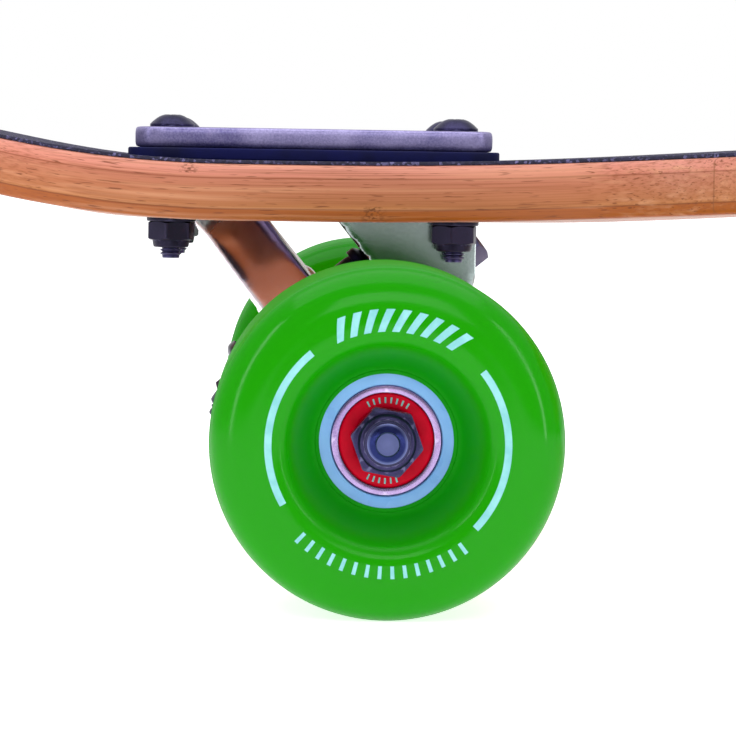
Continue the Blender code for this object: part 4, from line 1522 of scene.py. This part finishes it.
    def build(self) -> None:
        """Makes every piece of the truck."""
        self.base_plate()
        self.riser_pad()
        self.mounting()
        self.kingpin_set()
        self.bushings()
        self.pivot_cup()
        self.hanger()
        self.axle()


# Wheels


@dataclass
class Wheel:
    """One wheel: tyre with its print, core, two sealed bearings, and the lock nut on the axle."""

    end: End
    side: Side
    printer: bpy.types.NodeTree
    half: float = 0.0255
    radius: float = 0.035
    core_half: float = 0.0128
    core_radius: float = 0.0140
    bearing_half: float = 0.0035
    bearing_offset: float = 0.0085
    nut_flats: float = 0.0127
    nut_turn: float = radians(-10)
    print_rows: tuple[PrintedRow, ...] = (
        PrintedRow(1, 23.3, 170.0, 0.0, 32.5, 1.4, columns=64),
        PrintedRow(1, 23.3, -1.8, 0.0, 33.2, 1.4, columns=64),
        PrintedRow(9, 24.4, 85.0, 3.0, 1.55, 4.4, 0.45),
        PrintedRow(15, 24.6, 267.0, 2.45, 0.75, 2.5, 0.0),
    )
    seal_rows: tuple[PrintedRow, ...] = (
        PrintedRow(8, 8.0, 88.0, 1.15, 0.34, 1.15, 0.0),
        PrintedRow(6, 8.0, 265.0, 1.15, 0.34, 1.15, 0.0),
    )

    @property
    def label(self) -> str:
        """The end and the side, such as front_left."""
        return f"{self.end.name.lower()}_{self.side.name.lower()}"

    def outward(self) -> Matrix:
        """The wheel's frame: +Z outward along the axle, +Y up, at the middle of the wheel.

        Returns:
            The frame.
        """
        low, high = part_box(f"{self.label}_tyre")
        middle = Vector(((low.x + high.x) / 2, (low.y + high.y) / 2, self.centre_height()))
        facing = Matrix.Rotation(0 if self.side is Side.LEFT else pi, 4, "Z")
        return Matrix.Translation(middle) @ facing @ Matrix.Rotation(pi / 2, 4, "X")

    def centre_height(self) -> float:
        """Height of the axle, from this wheel's rolling joint."""
        joints = frame["record"]["behaviour"]["joints"]
        return next(j["pos_m"][2] for j in joints if j["name"] == f"{self.label}_roll")

    def tyre_profile(self) -> Outline:
        """The tyre's closed section: round shoulders, slightly domed faces and a steep dish.

        Returns:
            Its (radius, height) points.
        """
        wide = self.half
        tread = self.radius - 0.00013
        side = [(0.01398, 0.0119), (0.01398, 0.01284), (0.01330, 0.01288), (0.01333, 0.01312)]
        side += [(0.01365, 0.01322), (0.01392, 0.01338), (0.01420, 0.01326), (0.01480, 0.01355)]
        side += [(0.01560, 0.01460), (0.01650, 0.01640), (0.01740, 0.01870), (0.01820, 0.02090)]
        side += [(0.01910, 0.02290), (0.02020, 0.02440), (0.02170, 0.02525), (0.0236, wide)]
        side += [(0.0258, wide - 0.0002)]
        for i in range(1, 13):
            angle = pi / 2 * i / 12
            side.append((0.0258 + (tread - 0.0258) * sin(angle), wide - 0.0072 + 0.0070 * cos(angle)))
        side = side[:7] + fillet(side[7:], 0.0010, 4)
        return side + [(r, -h) for r, h in reversed(side)]

    def add(self, name: str, mesh: bpy.types.Mesh, finish: Finish, slot: str, nodes: tuple[str, ...] = (),
            at: Matrix | None = None) -> bpy.types.Object:
        """Places one mesh of this wheel and keeps it, to turn with the wheel.

        Args:
            name: The piece's name after the wheel's.
            mesh: The mesh, in the frame given by at.
            finish: Its finish.
            slot: The record's material slot; not used.
            nodes: CAD nodes that it stands for, without the wheel's name.
            at: The mesh's own frame, or None for the wheel's frame.

        Returns:
            The piece.
        """
        own = tuple(f"{self.label}_{part}" for part in nodes)
        there = placed(mesh, self.outward() if at is None else at)
        return keep(f"{self.label}_{name}", there, finish, f"{self.label}_wheel", own)

    def tyre(self) -> None:
        """The tyre, the thin lip of urethane over the core, and the print on the outer face."""
        tyre = lathe("tyre", self.tyre_profile(), 160, closed=True)
        films = [row.mesh(self.printer, tyre, 0.030) for row in self.print_rows]
        self.add("tyre_cast", tyre, URETHANE, "urethane", ("tyre",))
        self.add("tyre_print", joined("print", films), INK, "urethane")

    def core(self) -> None:
        """The pale core with a seat for each bearing and a thin rim."""
        half, seat, web = self.core_half, 0.01105, 0.0090
        shoulder = self.bearing_offset - self.bearing_half
        section = [(self.core_radius, half), (self.core_radius, -half), (seat, -half), (seat, -shoulder)]
        section += [(web, -shoulder), (web, shoulder), (seat, shoulder), (seat, half)]
        core = lathe("core", fillet(section, 0.0004, 3, closed=True), 128, closed=True)
        self.add("core_moulded", core, CORE, "core", ("core",))

    def bearing(self, place: str, sign: int) -> None:
        """One bearing: outer and inner race with rounded corners, and a seal with a shallow groove.

        Args:
            place: outer or inner.
            sign: Which way it faces along the wheel's own axis.
        """
        half = self.bearing_half
        sections = (ring(0.0110, 0.0094, -half, half, 0.0004), ring(0.0060, 0.0041, -half, half, 0.0003))
        races = joined("races", [lathe("race", section, 96, closed=True) for section in sections])
        face = half - 0.0003
        seal = [(0.00945, face - 0.0005), (0.0092, face - 0.0001), (0.0088, face), (0.0066, face + 0.0001)]
        seal += [(0.0064, face - 0.0002), (0.00595, face - 0.0002), (0.00595, -face), (0.00945, -face)]
        disc = lathe("seal", fillet(seal, 0.0002, 2, closed=True), 96, closed=True)
        marks = joined("marks", [row.mesh(self.printer, disc, 0.008) for row in self.seal_rows])
        flip = Matrix.Rotation(0 if sign > 0 else pi, 4, "Y")
        at = self.outward() @ Matrix.Translation((0, 0, sign * self.bearing_offset)) @ flip
        self.add(f"{place}_races", races, RACE_STEEL, "bearing", (f"{place}_bearing",), at)
        self.add(f"{place}_seal", disc, SEAL, "bearing", (), at)
        self.add(f"{place}_seal_marks", marks, INK, "bearing", (), at)

    def axle_nut(self) -> None:
        """The black lock nut: a chamfered hexagon with a round collar over its insert."""
        low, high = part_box(f"{self.label}_axle_nut")
        ends = sorted((abs(low.y), abs(high.y)))
        middle = abs(self.outward().translation.y)
        near, far = ends[0] - middle, ends[1] - middle
        shoulder = far - 0.0018
        block = chamfered_hexagon("nut", self.nut_flats, near, shoulder, self.nut_turn)
        collar = [(0, near + 0.001), (0.00585, near + 0.001), (0.00585, shoulder - 0.0003)]
        collar += [(0.0055, far - 0.0007), (0.0047, far - 0.0004), (0, far - 0.0004)]
        nut = combine(block, Cut.JOIN, lathe("collar", fillet(collar, 0.0004, 4), 64))
        nut = combine(nut, Cut.REMOVE, rod("bore", 0.00455, near - 0.001, far + 0.001, 48))
        body = f"{self.end.name.lower()}_hanger_set"
        there = placed(nut, self.outward())
        keep(f"{self.label}_lock_nut", there, BLACK_STEEL, body, (f"{self.label}_axle_nut",))
        insert = lathe("insert", ring(0.0045, 0.00365, far - 0.0028, far, 0.0003), 48, closed=True)
        keep(f"{self.label}_nut_insert", placed(insert, self.outward()), NYLON, body)

    def build(self) -> None:
        """Makes every piece of the wheel."""
        self.tyre()
        self.core()
        self.bearing("outer", 1)
        self.bearing("inner", -1)
        self.axle_nut()


# Floor, light and camera


@dataclass
class Studio:
    """A plain pale floor, a white surround, soft boxes and the camera."""

    lens: float = 164.5
    distance: float = 0.776
    height: float = 0.08925
    shift_x: float = -0.0210
    pitch: float = radians(3.469)
    yaw: float = radians(1.487)
    roll: float = radians(0.934)

    def floor(self) -> None:
        """A wide, nearly white floor."""
        form = bmesh.new()
        bmesh.ops.create_grid(form, x_segments=4, y_segments=4, size=30)
        mesh = taken(form, "floor")
        paint = bpy.data.materials.new("painted_floor_matt_white")
        paint.use_nodes = True
        glow = {"Emission Color": "#FFFFFF", "Emission Strength": 0.75}
        shader = paint.node_tree.nodes["Principled BSDF"]
        feed(shader, {"Base Color": "#F4F4F6", "Roughness": 0.9, **glow})
        mesh.materials.append(paint)
        shown("floor", mesh)

    def surround(self) -> None:
        """White behind the object, and a softer white as light."""
        world = bpy.data.worlds.new("studio")
        world.use_nodes = True
        tree = world.node_tree
        tree.nodes.clear()
        # Dimmer behind the camera than behind the object, so that the near faces aren't washed out.
        toward = node(tree, SEPARATE, [node(tree, COORDINATES).outputs["Generated"]]).outputs["Y"]
        shares = {"From Min": -1.0, "From Max": 0.6, "To Min": 0.26, "To Max": 0.85}
        glow = node(tree, RANGE, {"Value": toward, **shares})
        seen = node(tree, "ShaderNodeLightPath").outputs["Is Camera Ray"]
        strength = node(tree, RANGE, {"Value": seen, "To Min": glow, "To Max": 1.0})
        light = node(tree, "ShaderNodeBackground", {"Color": "#FFFFFF", "Strength": strength})
        node(tree, "ShaderNodeOutputWorld", {"Surface": light})
        bpy.context.scene.world = world

    def softbox(self, name: str, place: Vector, aim: Vector, size: Pair, power: float) -> None:
        """A rectangular soft light, pointed at a place.

        Args:
            name: Its name.
            place: Where it stands.
            aim: What it points at.
            size: Its width and height.
            power: Its power in watts.
        """
        data = bpy.data.lights.new(name, "AREA")
        data.shape = "RECTANGLE"
        data.size, data.size_y = size
        data.energy = power
        lamp = shown(name, data)
        lamp.location = place
        lamp.rotation_euler = (aim - place).to_track_quat("-Z", "Y").to_euler()

    def camera(self, axle: Vector) -> None:
        """A long lens, level with the board, looking slightly down at the front truck.

        Args:
            axle: The middle of the front axle.
        """
        data = bpy.data.cameras.new("camera")
        data.sensor_width = 36.0
        data.lens = self.lens
        data.clip_start, data.clip_end = 0.01, 100.0
        camera = shown("camera", data)
        look = Matrix.Rotation(-self.yaw, 4, "Z") @ Matrix.Rotation(pi / 2 - self.pitch, 4, "X")
        spot = Matrix.Translation((axle.x + self.shift_x, -self.distance, self.height))
        camera.matrix_world = spot @ look @ Matrix.Rotation(self.roll, 4, "Z")
        bpy.context.scene.camera = camera

    def build(self, axle: Vector) -> None:
        """Sets the studio round the front axle.

        Args:
            axle: The middle of the front axle.
        """
        self.floor()
        self.surround()
        aim = Vector((axle.x, -0.05, 0.05))
        self.softbox("top", aim + Vector((0.0, -0.1, 1.1)), aim, (1.6, 1.0), 9.0)
        self.softbox("left_strip", aim + Vector((-0.9, -0.75, 0.30)), aim, (0.12, 1.1), 3.2)
        self.softbox("right_strip", aim + Vector((0.95, -0.70, 0.30)), aim, (0.12, 1.1), 3.2)
        self.softbox("front", aim + Vector((0.1, -1.6, 0.9)), aim, (1.0, 0.6), 6.0)
        self.camera(axle)
        view = bpy.context.scene.view_settings
        view.view_transform = "Standard"
        view.look = "None"


def corners(box: tuple[Vector, Vector]) -> list[list[float]]:
    """A box as plain lists of numbers."""
    return [[float(value) for value in corner] for corner in box]


def main() -> None:
    """Builds the sub-assemblies in order."""
    logging.basicConfig(level=logging.INFO, format="%(name)s: %(message)s")
    fasteners = fastener_tree()
    printer = print_tree()
    trucks = [Truck(end, fasteners) for end in End]
    Deck().build(trucks)
    for truck in trucks:
        truck.build()
        for side in Side:
            Wheel(truck.end, side, printer).build()
    Studio().build(trucks[0].origin)


if __name__ == "__main__":
    main()
